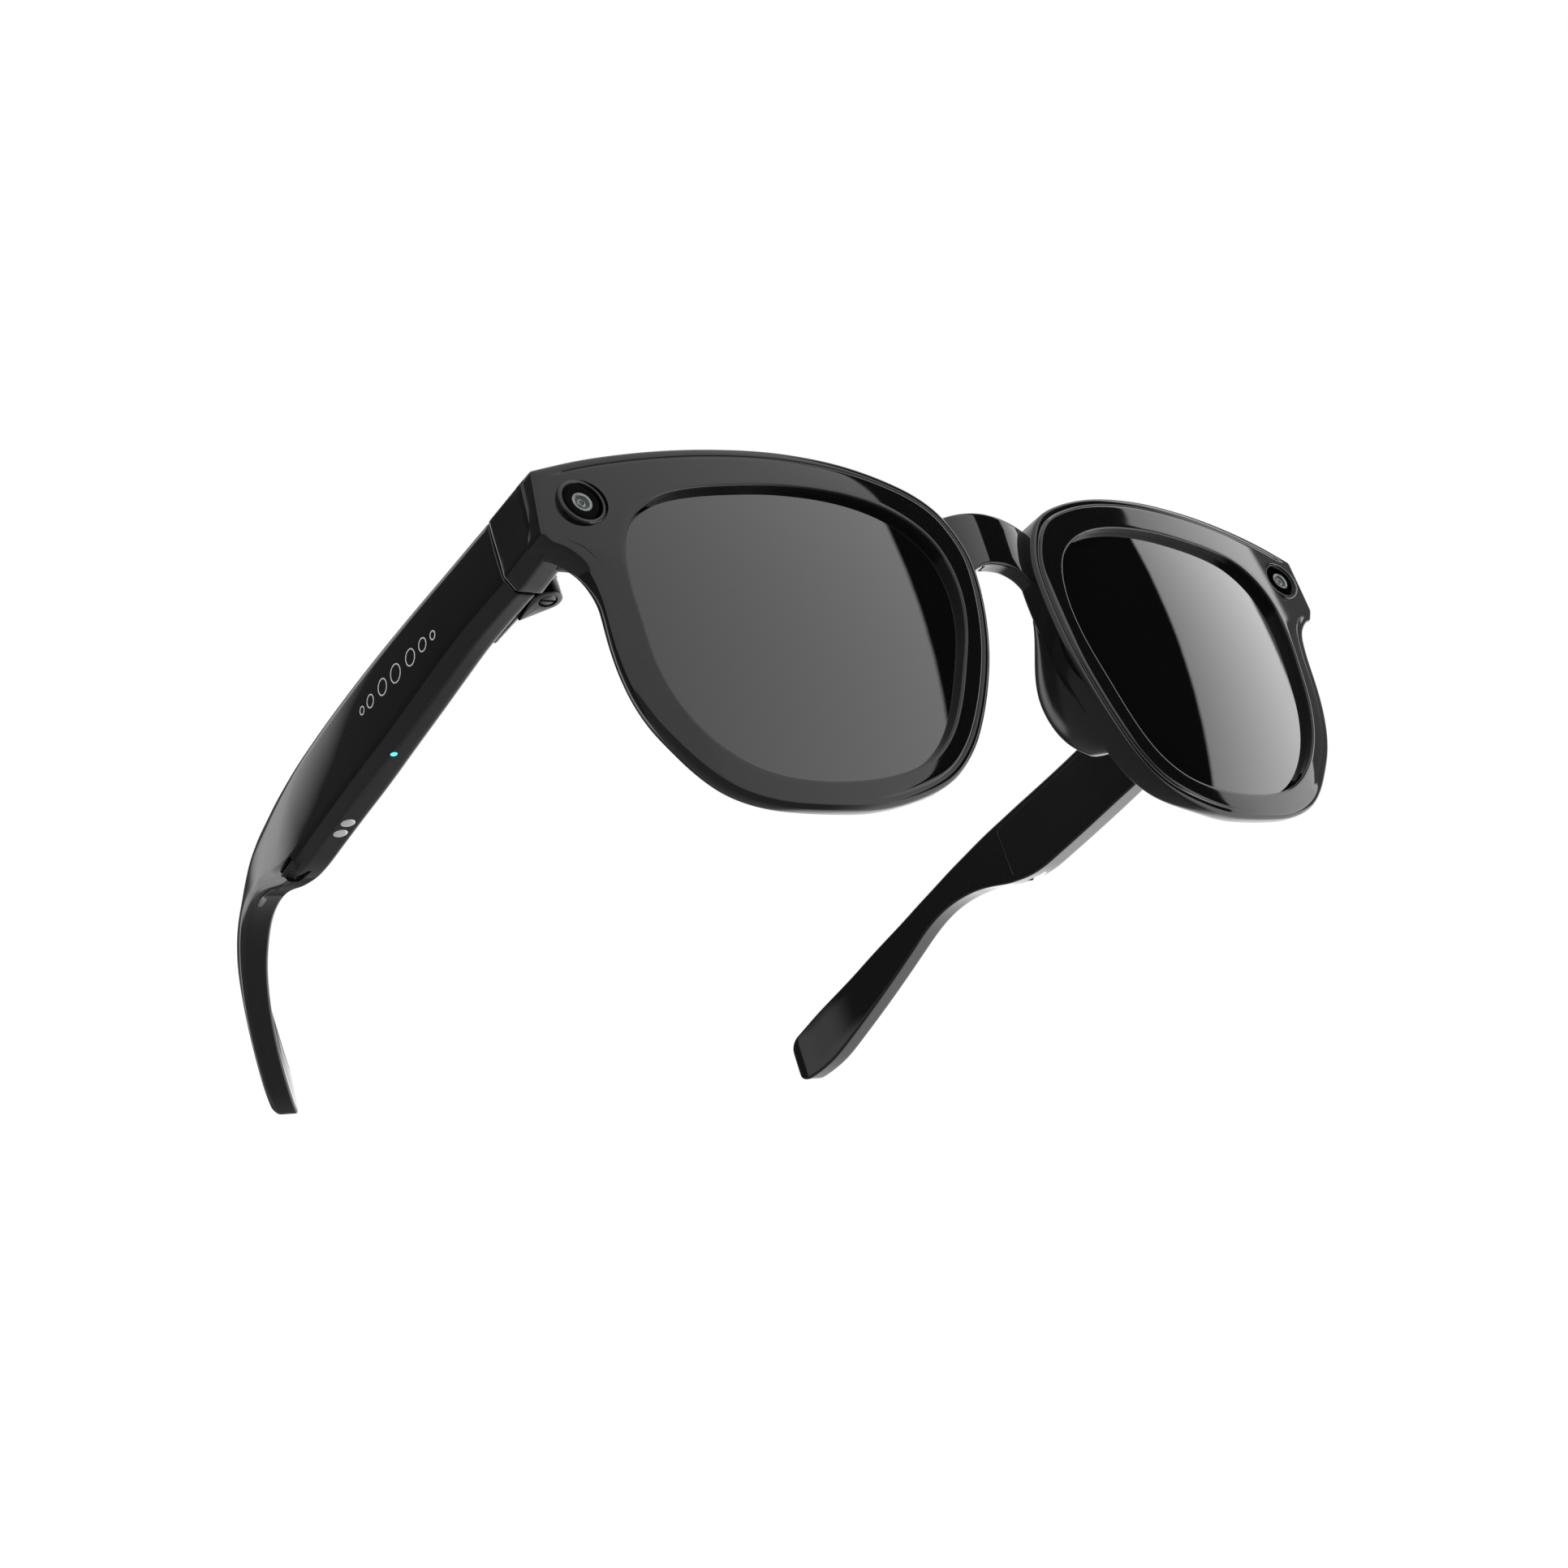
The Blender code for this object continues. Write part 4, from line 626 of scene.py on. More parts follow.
def pad_surface():
    """The fin: at each height, a closed teardrop from its root in the rim's wall to its rounded edge.

    Round the teardrop, the distance from the root goes as half of one less the cosine, and the
    width to each side as the sine. Both shrink at the fin's two ends.
    """
    line = softened(evenly(through(PAD_LINE, False), 120, False), 5, False)
    z, tip_x, tip_y = line[:, 0], line[:, 1], line[:, 2]
    wall = evenly(through(RIM_OUTLINE[NOSE_WALL], False), 400, False)
    order = np.argsort(wall[:, 1])
    root_x = np.interp(z, wall[order, 1], wall[order, 0]) + PAD_ROOT_INSIDE
    root_y = face_depth(root_x, z) + PAD_ROOT_DEPTH
    share = np.linspace(0, 1, len(line))
    fade = ease(0.0, 0.12, share) * (1 - ease(0.88, 1.0, share))
    tip_x = root_x + (tip_x - root_x) * fade
    tip_y = root_y + (tip_y - root_y) * (0.35 + 0.65 * fade)
    angle = np.linspace(0.0, 2 * math.pi, 48, endpoint=False)
    along = 0.5 * (1 - np.cos(angle))
    width = np.sin(angle) * (PAD_HALF_WIDTH - 0.75 * along)
    direction = np.stack([tip_x - root_x, tip_y - root_y], axis=-1)
    length = np.linalg.norm(direction, axis=-1, keepdims=True)
    direction = direction / length
    square = np.stack([-direction[:, 1], direction[:, 0]], axis=-1)
    size = (0.25 + 0.75 * fade)[:, None]
    x = root_x[:, None] + direction[:, :1] * length * along + square[:, :1] * width * size
    y = root_y[:, None] + direction[:, 1:] * length * along + square[:, 1:] * width * size
    return np.stack([x, y, np.broadcast_to(z[:, None], x.shape)], axis=-1)


pad_plastic = finish("pad_plastic", (0.004, 0.004, 0.0042), (0.008, 0.008, 0.0084), (0.10, 0.16))
PAD = pad_surface()
for side, place in SIDES:
    pad = skin("nose_fin_" + side, place(leaned(PAD)))
    finish_piece(pad, "front_body", pad_plastic, "pad_black", "nose_pad_" + side)


# ------------------------------------------------------------------------------------------------
# Cameras. A dark anodised ring pressed into each recess holds a black printed cover glass with a
# clear middle. Behind the middle sit the bright stepped barrel and the coated front element.
# Profiles are (radius, distance behind the flat that carries the camera), in millimetres.
BEZEL = [
    (2.98, 0.35), (3.0, 0.1), (3.05, 0.03), (3.15, 0.0), (3.38, 0.01), (3.5, 0.06), (3.57, 0.17),
    (3.6, 0.32), (3.6, 2.4), (2.98, 2.4),
]
COVER_GLASS = [
    (1.5, 0.2), (1.56, 0.12), (2.2, 0.09), (2.85, 0.1), (2.93, 0.13), (2.97, 0.25), (2.97, 0.8), (1.5, 0.8),
]
BARREL = [
    (1.06, 0.34), (1.1, 0.26), (1.3, 0.2), (1.42, 0.17), (1.5, 0.2), (1.52, 0.3), (1.52, 1.0), (1.06, 1.0),
]
STEP = [(0.74, 0.44), (0.78, 0.4), (1.0, 0.36), (1.06, 0.38), (1.06, 0.9), (0.74, 0.9)]
ELEMENT = [(0.4, 0.33), (0.44, 0.3), (0.6, 0.36), (0.72, 0.46), (0.74, 0.56), (0.74, 0.9), (0.4, 0.9)]
# The pupil is a black disc in the lens's middle: painted shade, standing in for the dark inside of the
# lens.
PUPIL_SHADE_DISC = [(0.0001, 0.26), (0.15, 0.265), (0.28, 0.285), (0.38, 0.32), (0.4, 0.36), (0.4, 0.8), (0.0001, 0.8)]

anodised_black = finish("anodised_black", (0.004, 0.004, 0.004), (0.007, 0.007, 0.007), (0.05, 0.09), 300.0)
printed_glass = finish(
    "printed_glass", (0.0006, 0.0006, 0.0006), (0.001, 0.001, 0.001), (0.01, 0.02), 60.0, 1.45,
    dust=0.0, shine=0.02,
)
bright_barrel = finish(
    "bright_barrel", (0.20, 0.225, 0.215), (0.26, 0.29, 0.28), (0.25, 0.35), 300.0, 1.5, 1.0, 0.000001
)
barrel_step = finish(
    "barrel_step", (0.02, 0.024, 0.022), (0.035, 0.04, 0.038), (0.2, 0.3), 300.0, 1.5, 0.0, 0.000001
)
coated_element = finish(
    "coated_element", (0.05, 0.09, 0.08), (0.10, 0.15, 0.13), (0.02, 0.04), 200.0, 2.0,
    bump=0.000001, coat=0.6,
)
# Near-black finish of the pupil disc: painted shade for the dark inside of the lens.
pupil_painted_shade = finish("pupil_painted_shade", (0.002, 0.002, 0.002), (0.004, 0.004, 0.004), (0.03, 0.05), 200.0, 1.6)
for side, place in SIDES:
    for name, profile, material, slot, node in (
        ("camera_ring_", BEZEL, anodised_black, "bezel_metal", "camera_bezel_"),
        ("cover_glass_", COVER_GLASS, printed_glass, "window_black", "camera_window_"),
        ("lens_barrel_", BARREL, bright_barrel, "optics", "camera_module_"),
        ("barrel_step_", STEP, barrel_step, "optics", "camera_module_"),
        ("front_element_", ELEMENT, coated_element, "optics", "camera_module_"),
        ("pupil_", PUPIL_SHADE_DISC, pupil_painted_shade, "optics", "camera_module_"),
    ):
        closed = profile[0][0] > 0.001
        points = place(level(turned(profile, CAMERA_MIDDLE, 72)))
        piece = skin(name + side, points, along=closed, ends=not closed)
        piece.data.set_sharp_from_angle(angle=math.radians(40))
        finish_piece(piece, "front_body", material, slot, node + side)


# ------------------------------------------------------------------------------------------------
# Temples. Two shells of black acetate-look plastic, bonded with hidden seams. Flat inside and gently
# crowned outside, they hold the electronics as far as the hip, then narrow to the ear stem, which
# turns down and in round the ear and ends in a squared tip.
SEAM_Y = 17.02
TIP_Y = 154.7
TIP_ROUND = 2.3
LOWER_BEVEL = (1.3, 2.3)
CROWN = 0.16
# Along the temple, at y: outer face x, thickness, top z, bottom z, height of the upper bevel.
TEMPLE_LINES = [
    (17.0, 73.80, 4.5, 23.6, 11.9, 0.4), (23.0, 74.41, 4.5, 23.6, 11.9, 0.4),
    (30.0, 75.10, 4.6, 23.6, 11.7, 0.4), (36.0, 75.72, 4.7, 23.6, 11.1, 0.4),
    (42.0, 76.30, 4.8, 23.6, 10.5, 0.4), (52.0, 77.10, 4.9, 23.6, 9.7, 0.4),
    (62.0, 77.73, 5.3, 23.6, 9.4, 0.5), (72.0, 78.12, 5.3, 23.5, 9.2, 0.5),
    (80.0, 78.32, 5.3, 23.5, 9.1, 0.8), (86.0, 78.40, 5.3, 23.5, 9.1, 1.4),
    (90.0, 78.37, 5.3, 23.4, 9.6, 1.7), (93.0, 78.30, 5.3, 23.3, 10.4, 2.0),
    (96.0, 78.21, 5.3, 23.2, 11.3, 2.3), (100.0, 78.04, 5.3, 22.9, 13.0, 2.4),
    (104.0, 77.70, 5.3, 22.4, 14.3, 2.5), (108.5, 76.98, 5.2, 21.7, 15.0, 2.6),
    (114.0, 75.96, 5.0, 20.6, 14.9, 2.6), (119.4, 74.82, 4.9, 19.4, 13.5, 2.2),
    (124.0, 73.62, 4.7, 18.2, 11.4, 2.1), (129.0, 72.03, 4.7, 16.7, 8.8, 2.1),
    (134.0, 70.09, 4.7, 14.9, 6.0, 2.1), (138.0, 68.33, 4.7, 13.2, 3.7, 2.0),
    (142.6, 66.08, 4.7, 11.3, 1.0, 2.0), (147.6, 63.49, 4.8, 9.1, -1.8, 2.0),
    (151.0, 61.62, 4.8, 7.3, -2.8, 2.0), (155.8, 58.90, 4.9, 4.8, -3.4, 2.0),
]


def temple_lines(y):
    """Outer face, thickness, top, bottom and upper bevel at each y, on softened curves."""
    knots = np.array(TEMPLE_LINES)
    dense = through(knots, False, 60)
    even = np.linspace(knots[0, 0], knots[-1, 0], 1400)
    table = np.stack([np.interp(even, dense[:, 0], dense[:, k]) for k in range(6)], axis=-1)
    table = softened(table, 14, False)
    return [np.interp(y, even, table[:, k]) for k in range(1, 6)]


def crown_at(z, low, high):
    """How far the outer face bulges at z, a parabola between its lower and its upper edge."""
    u = np.clip((z - low) / (high - low), 0.0, 1.0)
    return CROWN * 4 * u * (1 - u)


def temple_surface():
    """The temple: a rounded section at each y, crowned outside, with its two ends eased and closed."""
    body = np.linspace(SEAM_Y + 0.35, TIP_Y - TIP_ROUND, 300)
    bend = np.sin(np.linspace(0.12, math.pi / 2, 9))
    y = np.concatenate([SEAM_Y + np.array([0.0, 0.05, 0.15]), body, TIP_Y - TIP_ROUND * (1 - bend)])
    ends = np.concatenate([[0.3, 0.14, 0.04], np.zeros(300), TIP_ROUND * (1 - np.sqrt(1 - bend ** 2))])
    outer, thick, top, bottom, upper = temple_lines(y)
    inner = outer - thick
    stem = ease(96.0, 106.0, y)
    low_bevel_x = LOWER_BEVEL[0] * (1 - 0.25 * stem)
    low_bevel_z = LOWER_BEVEL[1] * (1 - 0.55 * stem)
    corners = np.stack([
        np.stack([inner, bottom], axis=-1),
        np.stack([outer - low_bevel_x, bottom], axis=-1),
        np.stack([outer, bottom + low_bevel_z], axis=-1),
        np.stack([outer, top - upper], axis=-1),
        np.stack([outer - 0.25 - 0.42 * upper, top], axis=-1),
        np.stack([inner, top], axis=-1),
    ], axis=1)
    ring = rounded_ring(corners, (0.5, 0.45, 0.7, 0.9, 0.7, 0.6), 8)
    x, z = ring[..., 0], ring[..., 1]
    on_face = ease(-1.0, -0.1, x - outer[:, None])
    crown = crown_at(z, (bottom + low_bevel_z)[:, None], (top - upper)[:, None])
    x = x + on_face * crown * (1 - 0.5 * stem)[:, None]
    middle_x, middle_z = (outer + inner)[:, None] / 2, (top + bottom)[:, None] / 2
    x = x - np.sign(x - middle_x) * np.minimum(0.5 * ends[:, None], 0.9 * np.abs(x - middle_x))
    z = z - np.sign(z - middle_z) * np.minimum(ends[:, None], 0.9 * np.abs(z - middle_z))
    return set_along(np.stack([x, z], axis=-1), y)


SLOT_TOOL = [((75.3, 9.0), 0.2), ((78.9, 10.3), 0.2), ((78.3, 12.2), 0.2), ((75.5, 11.2), 0.2)]
SLOT_ENDS = np.array([87.3, 92.6])


def slot_tool():
    """A slanted bar through the lower bevel, for the sound slot."""
    corners = np.array([corner for corner, _ in SLOT_TOOL])
    corners = np.broadcast_to(corners, (2,) + corners.shape)
    return set_along(rounded_ring(corners, [radius for _, radius in SLOT_TOOL], 4), SLOT_ENDS)


TEMPLE = temple_surface()
for side, place in SIDES:
    temple = skin("temple_" + side, place(level(TEMPLE)))
    cut(temple, skin("slot_tool", place(level(slot_tool()))))
    finish_piece(temple, side + "_temple", polished_acetate, "gloss_black", "temple_shell_" + side)


# ------------------------------------------------------------------------------------------------
# Inner covers. A thin plate of the same plastic snaps over the electronics on the wearer's side of
# each temple. It lies a hair proud of the shell, and its edge shows as a fine line.
COVER_MARGIN = 1.15
COVER_PROUD = 0.02
COVER_DEPTH = 0.6


def cover_surface():
    """The plate: a rounded rectangle at each y, following the temple's flat inner face."""
    y = np.concatenate([[32.1, 32.2, 32.5], np.linspace(33.0, 92.5, 90), [93.0, 93.3, 93.4]])
    outer, thick, top, bottom, _ = temple_lines(y)
    inner = outer - thick
    pull = np.concatenate([[0.7, 0.4, 0.15], np.zeros(90), [0.15, 0.4, 0.7]])
    low, high = bottom + COVER_MARGIN + pull, top - COVER_MARGIN - pull
    near, far = inner - COVER_PROUD, inner + COVER_DEPTH
    corners = np.stack([
        np.stack([near, low], axis=-1), np.stack([far, low], axis=-1),
        np.stack([far, high], axis=-1), np.stack([near, high], axis=-1),
    ], axis=1)
    return set_along(rounded_ring(corners, (0.06, 0.1, 0.1, 0.06), 5), y)


COVER = cover_surface()
for side, place in SIDES:
    cover = skin("inner_cover_" + side, place(level(COVER)))
    finish_piece(cover, side + "_temple", inner_acetate, "inner_black", "temple_cover_" + side)


# ------------------------------------------------------------------------------------------------
# Touch marks. Seven white rings, growing and shrinking again, are printed on the right temple's
# outer face, over the touch film. The ink stands a few hundredths of a millimetre proud.
TOUCH_MARKS = [
    (34.7, 17.1, 1.4), (37.5, 17.4, 2.1), (41.0, 17.6, 2.6), (45.4, 17.8, 2.9), (49.4, 18.1, 2.6),
    (53.3, 18.2, 2.1), (56.0, 18.3, 1.4),
]
INK_WIDTH = 0.17


def outer_face(y, z):
    """x of the left temple's outer face at y and z."""
    outer, _, top, bottom, upper = temple_lines(y)
    return outer + crown_at(z, bottom + LOWER_BEVEL[1], top - upper)


def mark_surface(y_middle, z_middle, size):
    """A ring of ink: a flat square section carried round a circle, laid on the temple's face."""
    angle = np.linspace(0.0, 2 * math.pi, 64, endpoint=False)[:, None]
    section = np.array([(0.0, -0.12), (0.0, 0.03), (-INK_WIDTH, 0.03), (-INK_WIDTH, -0.12)])
    radius = size / 2 + section[None, :, 0]
    y = y_middle + radius * np.cos(angle)
    z = z_middle + radius * np.sin(angle)
    x = outer_face(y.ravel(), z.ravel()).reshape(y.shape) + section[None, :, 1]
    return np.stack([x, y, z], axis=-1)


white_ink = finish("white_ink", (0.62, 0.62, 0.61), (0.75, 0.75, 0.74), (0.35, 0.5), 400.0)
for number, (y_middle, z_middle, size) in enumerate(TOUCH_MARKS):
    ring = other_side(level(mark_surface(y_middle, z_middle, size)))
    mark = skin("touch_mark_%d" % (number + 1), ring, along=True)
    mark.data.set_sharp_from_angle(angle=math.radians(40))
    finish_piece(mark, "right_temple", white_ink, "gloss_black")


# ------------------------------------------------------------------------------------------------
# Charging contacts and status light. Two round plated pads and one small light pipe are pressed
# into the right temple's underside, level with it, each with a fine eased edge.
DISC_PROUD = 0.06


def flush_disc(x, y, radius, proud):
    """A low round button in the underside: a profile turned about Z, at the bottom's own height."""
    _, _, _, bottom, _ = temple_lines(np.array([y]))
    profile = [
        (0.0001, -proud), (0.7 * radius, -proud), (0.93 * radius, -0.8 * proud), (radius, 0.0),
        (radius, 0.8), (0.0001, 0.8),
    ]
    return turned(profile, (x, y, float(bottom[0])), 40, "Z")


bright_pad = finish("bright_pad", (0.62, 0.62, 0.61), (0.78, 0.78, 0.77), (0.3, 0.45), 500.0, 1.5, 0.4)
light_pipe = finish("light_pipe", (0.05, 0.45, 0.5), (0.08, 0.6, 0.65), (0.1, 0.2), 500.0)
light_shader = light_pipe.node_tree.nodes["Principled BSDF"]
light_shader.inputs["Emission Color"].default_value = (0.1, 0.85, 1.0, 1.0)
light_shader.inputs["Emission Strength"].default_value = 1.2
for name, x, y, radius, material, slot, node in (
    ("contact_front", 75.1, 72.7, 1.1, bright_pad, "contact_metal", "charging_contact_front"),
    ("contact_rear", 75.15, 75.7, 1.1, bright_pad, "contact_metal", "charging_contact_rear"),
    ("light_window", 75.3, 53.9, 0.5, light_pipe, "light_blue", "status_light"),
):
    disc = skin(name, other_side(level(flush_disc(x, y, radius, DISC_PROUD))))
    disc.data.set_sharp_from_angle(angle=math.radians(50))
    finish_piece(disc, "right_temple", material, slot, node)


# ------------------------------------------------------------------------------------------------
# Capture button. A slim bar of the temple's plastic stands just proud of the right temple's top,
# and slides down into its slot on a small spring.
BUTTON_X = 73.65
BUTTON_Y = 40.0
BUTTON_HALF_WIDTH = 0.75
BUTTON_HALF_STRAIGHT = 2.7


def button_surface():
    """A bar with rounded ends: a stadium outline, drawn in towards its top edge."""
    _, _, top, _, _ = temple_lines(np.array([BUTTON_Y]))
    angle = np.linspace(0.0, 2 * math.pi, 48, endpoint=False)[None, :]
    height = np.array([-0.8, 0.0, 0.08, 0.13, 0.16])[:, None]
    pull = np.array([0.0, 0.0, 0.05, 0.14, 0.35])[:, None]
    radius = BUTTON_HALF_WIDTH - pull
    x = BUTTON_X + radius * np.cos(angle)
    y = BUTTON_Y + radius * np.sin(angle) + BUTTON_HALF_STRAIGHT * np.sign(np.sin(angle))
    return np.stack([x, y, top[0] + height + 0 * angle], axis=-1)


shutter_bar = skin("shutter_bar", other_side(level(button_surface())))
finish_piece(shutter_bar, "capture_button_body", inner_acetate, "gloss_black", "capture_button")


# ------------------------------------------------------------------------------------------------
# Speaker grilles. A strip of black woven steel lies across each sound slot, just below its edge,
# clamped between the two shells.
def grille_surface():
    """The strip: a thin rounded bar along the slot."""
    corners = np.array([(75.9, 10.45), (78.0, 11.3), (77.9, 11.6), (75.8, 10.75)])
    ring = rounded_ring(np.broadcast_to(corners, (12, 4, 2)), (0.05, 0.05, 0.05, 0.05), 3)
    reach = 0.1
    return set_along(ring, np.linspace(SLOT_ENDS[0] - reach, SLOT_ENDS[1] + reach, 12))


def woven_steel():
    """Dark steel with a fine square mesh: two crossed waves make the wires and the holes between."""
    made = finish("woven_steel", (0.02, 0.02, 0.02), (0.04, 0.04, 0.04), (0.3, 0.4), 400.0, 1.5, 0.8)
    nodes, links = made.node_tree.nodes, made.node_tree.links
    place = nodes.new("ShaderNodeTexCoord")
    heights = []
    for direction in ("X", "Y"):
        wave = nodes.new("ShaderNodeTexWave")
        wave.bands_direction = direction
        wave.inputs["Scale"].default_value = 900.0
        links.new(place.outputs["Object"], wave.inputs["Vector"])
        heights.append(wave.outputs["Fac"])
    both = nodes.new("ShaderNodeMath")
    both.operation = "MAXIMUM"
    links.new(heights[0], both.inputs[0])
    links.new(heights[1], both.inputs[1])
    relief = nodes.new("ShaderNodeBump")
    relief.inputs["Distance"].default_value = 0.0001
    links.new(both.outputs[0], relief.inputs["Height"])
    links.new(relief.outputs["Normal"], nodes["Principled BSDF"].inputs["Normal"])
    return made


grille_steel = woven_steel()
for side, place in SIDES:
    grille = skin("sound_grille_" + side, place(level(grille_surface())))
    finish_piece(grille, side + "_temple", grille_steel, "grille_metal", "speaker_grille_" + side)


# ------------------------------------------------------------------------------------------------
# Hinges. Pressed and plated steel: two knuckles on the temple's leaf, one on the front's bracket,
# and a slotted screw put in from below. Knuckles are drawn out sideways into the part they grow from.
KNUCKLE_RADIUS = 2.1
plated_steel = finish(
    "plated_steel", (0.06, 0.06, 0.062), (0.10, 0.10, 0.102), (0.22, 0.34), 300.0, 1.5, 1.0
)


def knuckle(first, second, z_low, z_high):
    """A knuckle: a round end on the hinge axis drawn out to two points, in plan, with eased edges.

    The plan runs round the circle on the side away from the two points, then out to each of them.
    """
    first, second = np.asarray(first, float), np.asarray(second, float)
    away = HINGE[:2] - (first + second) / 2
    turn = math.atan2(away[1], away[0])
    angle = np.linspace(turn - 1.75, turn + 1.75, 32)
    arc = HINGE[:2] + KNUCKLE_RADIUS * np.stack([np.cos(angle), np.sin(angle)], axis=-1)
    t = np.linspace(0.0, 1.0, 8)[1:, None]
    out = arc[-1] + (second - arc[-1]) * t
    back = first + (arc[0] - first) * t
    plan = np.vstack([arc, out, first[None], back[:-1]])
    middle = plan.mean(axis=0)
    rise, pull = np.array([0.0, 0.03, 0.12, 0.3]), np.array([0.28, 0.15, 0.04, 0.0])
    z = np.concatenate([z_low + rise, z_high - rise[::-1]])
    pull = np.concatenate([pull, pull[::-1]])
    toward = (middle - plan) / np.linalg.norm(middle - plan, axis=1)[:, None]
    rings = plan[None] + toward[None] * pull[:, None, None]
    return np.concatenate([rings, np.broadcast_to(z[:, None, None], rings.shape[:2] + (1,))], axis=-1)


# Plans are (x, y) seen from above. A screw profile is (radius, height).
LEAF_PLATE = [(68.25, 20.9), (69.3, 20.9), (70.1, 29.7), (69.2, 29.7)]


def plate(plan, z_low, z_high):
    """A flat plate standing on its plan, with rounded upright edges and eased ends."""
    z = np.array([z_low, z_low + 0.1, z_low + 0.3, z_high - 0.3, z_high - 0.1, z_high])
    pull = np.array([0.2, 0.06, 0.0, 0.0, 0.06, 0.2])
    plan = np.asarray(plan, float)
    middle = plan.mean(axis=0)
    rings = plan[None] + np.sign(middle - plan)[None] * pull[:, None, None]
    ring = rounded_ring(rings, (0.2, 0.2, 0.2, 0.2), 4)
    return np.concatenate([ring, np.broadcast_to(z[:, None, None], ring.shape[:2] + (1,))], axis=-1)


FOOT_PLATE = [(67.5, 12.4), (68.6, 12.4), (68.6, 16.1), (67.5, 16.1)]
SCREW_HEAD = [
    (0.0001, 12.22), (0.9, 12.22), (1.12, 12.26), (1.22, 12.36), (1.25, 12.9), (0.75, 12.95),
    (0.75, 21.5), (0.0001, 21.6),
]
HEAD_SEAT = [(0.0001, 11.5), (1.33, 11.5), (1.33, 13.0), (0.0001, 13.0)]


def level_turned(profile):
    """A profile of (radius, height) turned about the hinge axis."""
    return turned(profile, (HINGE[0], HINGE[1], 0.0), 48, "Z")


SCREW_SLOT = plate([(64.0, 18.2), (69.6, 18.2), (69.6, 18.6), (64.0, 18.6)], 11.5, 12.62)
for side, place in SIDES:
    temple_body = side + "_temple"
    for name, low, high in (("lower", 12.15, 15.0), ("upper", 19.05, 21.85)):
        outer_knuckle = knuckle((68.9, 23.4), (69.2, 18.3), low, high)
        piece = skin("hinge_%s_knuckle_%s" % (name, side), place(level(outer_knuckle)))
        if name == "lower":
            cut(piece, skin("head_seat", place(level(level_turned(HEAD_SEAT)))))
        finish_piece(piece, temple_body, plated_steel, "hinge_metal", "hinge_leaf_" + side)
    leaf = skin("hinge_leaf_plate_" + side, place(level(plate(LEAF_PLATE, 12.7, 21.3))))
    finish_piece(leaf, temple_body, plated_steel, "hinge_metal", "hinge_leaf_" + side)
    screw = skin("slotted_screw_" + side, place(level(level_turned(SCREW_HEAD))))
    screw.data.set_sharp_from_angle(angle=math.radians(40))
    cut(screw, skin("screw_slot", place(level(SCREW_SLOT))))
    finish_piece(screw, temple_body, plated_steel, "hinge_metal", "hinge_screw_" + side)
    middle_knuckle = knuckle((68.9, 16.1), (67.9, 13.4), 15.3, 18.7)
    piece = skin("hinge_middle_knuckle_" + side, place(level(middle_knuckle)))
    finish_piece(piece, "front_body", plated_steel, "hinge_metal", "hinge_bracket_" + side)
    foot = skin("hinge_foot_" + side, place(level(plate(FOOT_PLATE, 13.0, 21.3))))
    finish_piece(foot, "front_body", plated_steel, "hinge_metal", "hinge_bracket_" + side)


# ------------------------------------------------------------------------------------------------
# Brow strip. A thin strip of the same plastic closes the cable channel along the back of the brow,
# and is bonded in from one camera box to the other.
BROW_LINE = [
    (0.0, 17.0), (8.5, 17.1), (13.0, 19.0), (18.0, 21.75), (25.0, 23.8), (35.0, 24.75), (45.0, 24.8),
    (54.0, 23.7), (60.0, 22.6),
]
STRIP_HALF_WIDTH = 0.85
STRIP_FRONT = RIM_THICKNESS - 0.4
STRIP_BACK = RIM_THICKNESS + 0.05


def strip_surface():
    """The strip: a thin rounded section carried along the brow line, at the back of the front."""
    half = np.array(BROW_LINE)
    whole = np.vstack([half[:0:-1] * np.array([-1.0, 1.0]), half])
    line = smooth_line(whole, 900, 20, 260, False)
    along = np.gradient(line, axis=0)
    along /= np.linalg.norm(along, axis=1)[:, None]
    square = np.stack([-along[:, 1], along[:, 0]], axis=-1)
    rings = []
    for sign, depth in ((-1, STRIP_FRONT), (1, STRIP_FRONT), (1, STRIP_BACK), (-1, STRIP_BACK)):
        flat = line + square * sign * STRIP_HALF_WIDTH
        x, z = flat.T
        rings.append(np.stack([x, face_depth(x, z) + depth, z], axis=-1))
    return rounded_ring(np.stack(rings, axis=1), (0.1, 0.1, 0.08, 0.08), 4)


strip = skin("brow_strip", leaned(strip_surface()))
finish_piece(strip, "front_body", inner_acetate, "inner_black", "flex_channel_strip")


# ------------------------------------------------------------------------------------------------
# Inside the temples and the brow: the units that the shells hide. They keep the shapes they were
# drawn with, and each gets the finish of what it is made of.
polyimide = finish("polyimide", (0.42, 0.18, 0.04), (0.58, 0.28, 0.08), (0.3, 0.4), 300.0)
solder_mask = finish("solder_mask", (0.01, 0.09, 0.045), (0.02, 0.14, 0.07), (0.3, 0.42), 400.0)
cell_foil = finish("cell_foil", (0.5, 0.51, 0.53), (0.62, 0.63, 0.65), (0.3, 0.45), 300.0, 1.5, 0.7)
drawn_wire = finish("drawn_wire", (0.5, 0.5, 0.5), (0.65, 0.65, 0.65), (0.22, 0.32), 600.0, 1.5, 1.0)
speaker_case = finish("speaker_case", (0.02, 0.02, 0.02), (0.035, 0.035, 0.035), (0.35, 0.45), 300.0)
INNER_UNITS = {
    "front_flex_cable": polyimide, "touch_sensor": polyimide, "circuit_board_left": solder_mask,
    "circuit_board_right": solder_mask, "battery_left": cell_foil, "battery_right": cell_foil,
    "stem_core_left": drawn_wire, "stem_core_right": drawn_wire, "speaker_left": speaker_case,
    "speaker_right": speaker_case,
}
for name, material in INNER_UNITS.items():
    unit = frame["nodes"][name]
    unit.data.materials.clear()
    unit.data.materials.append(material)


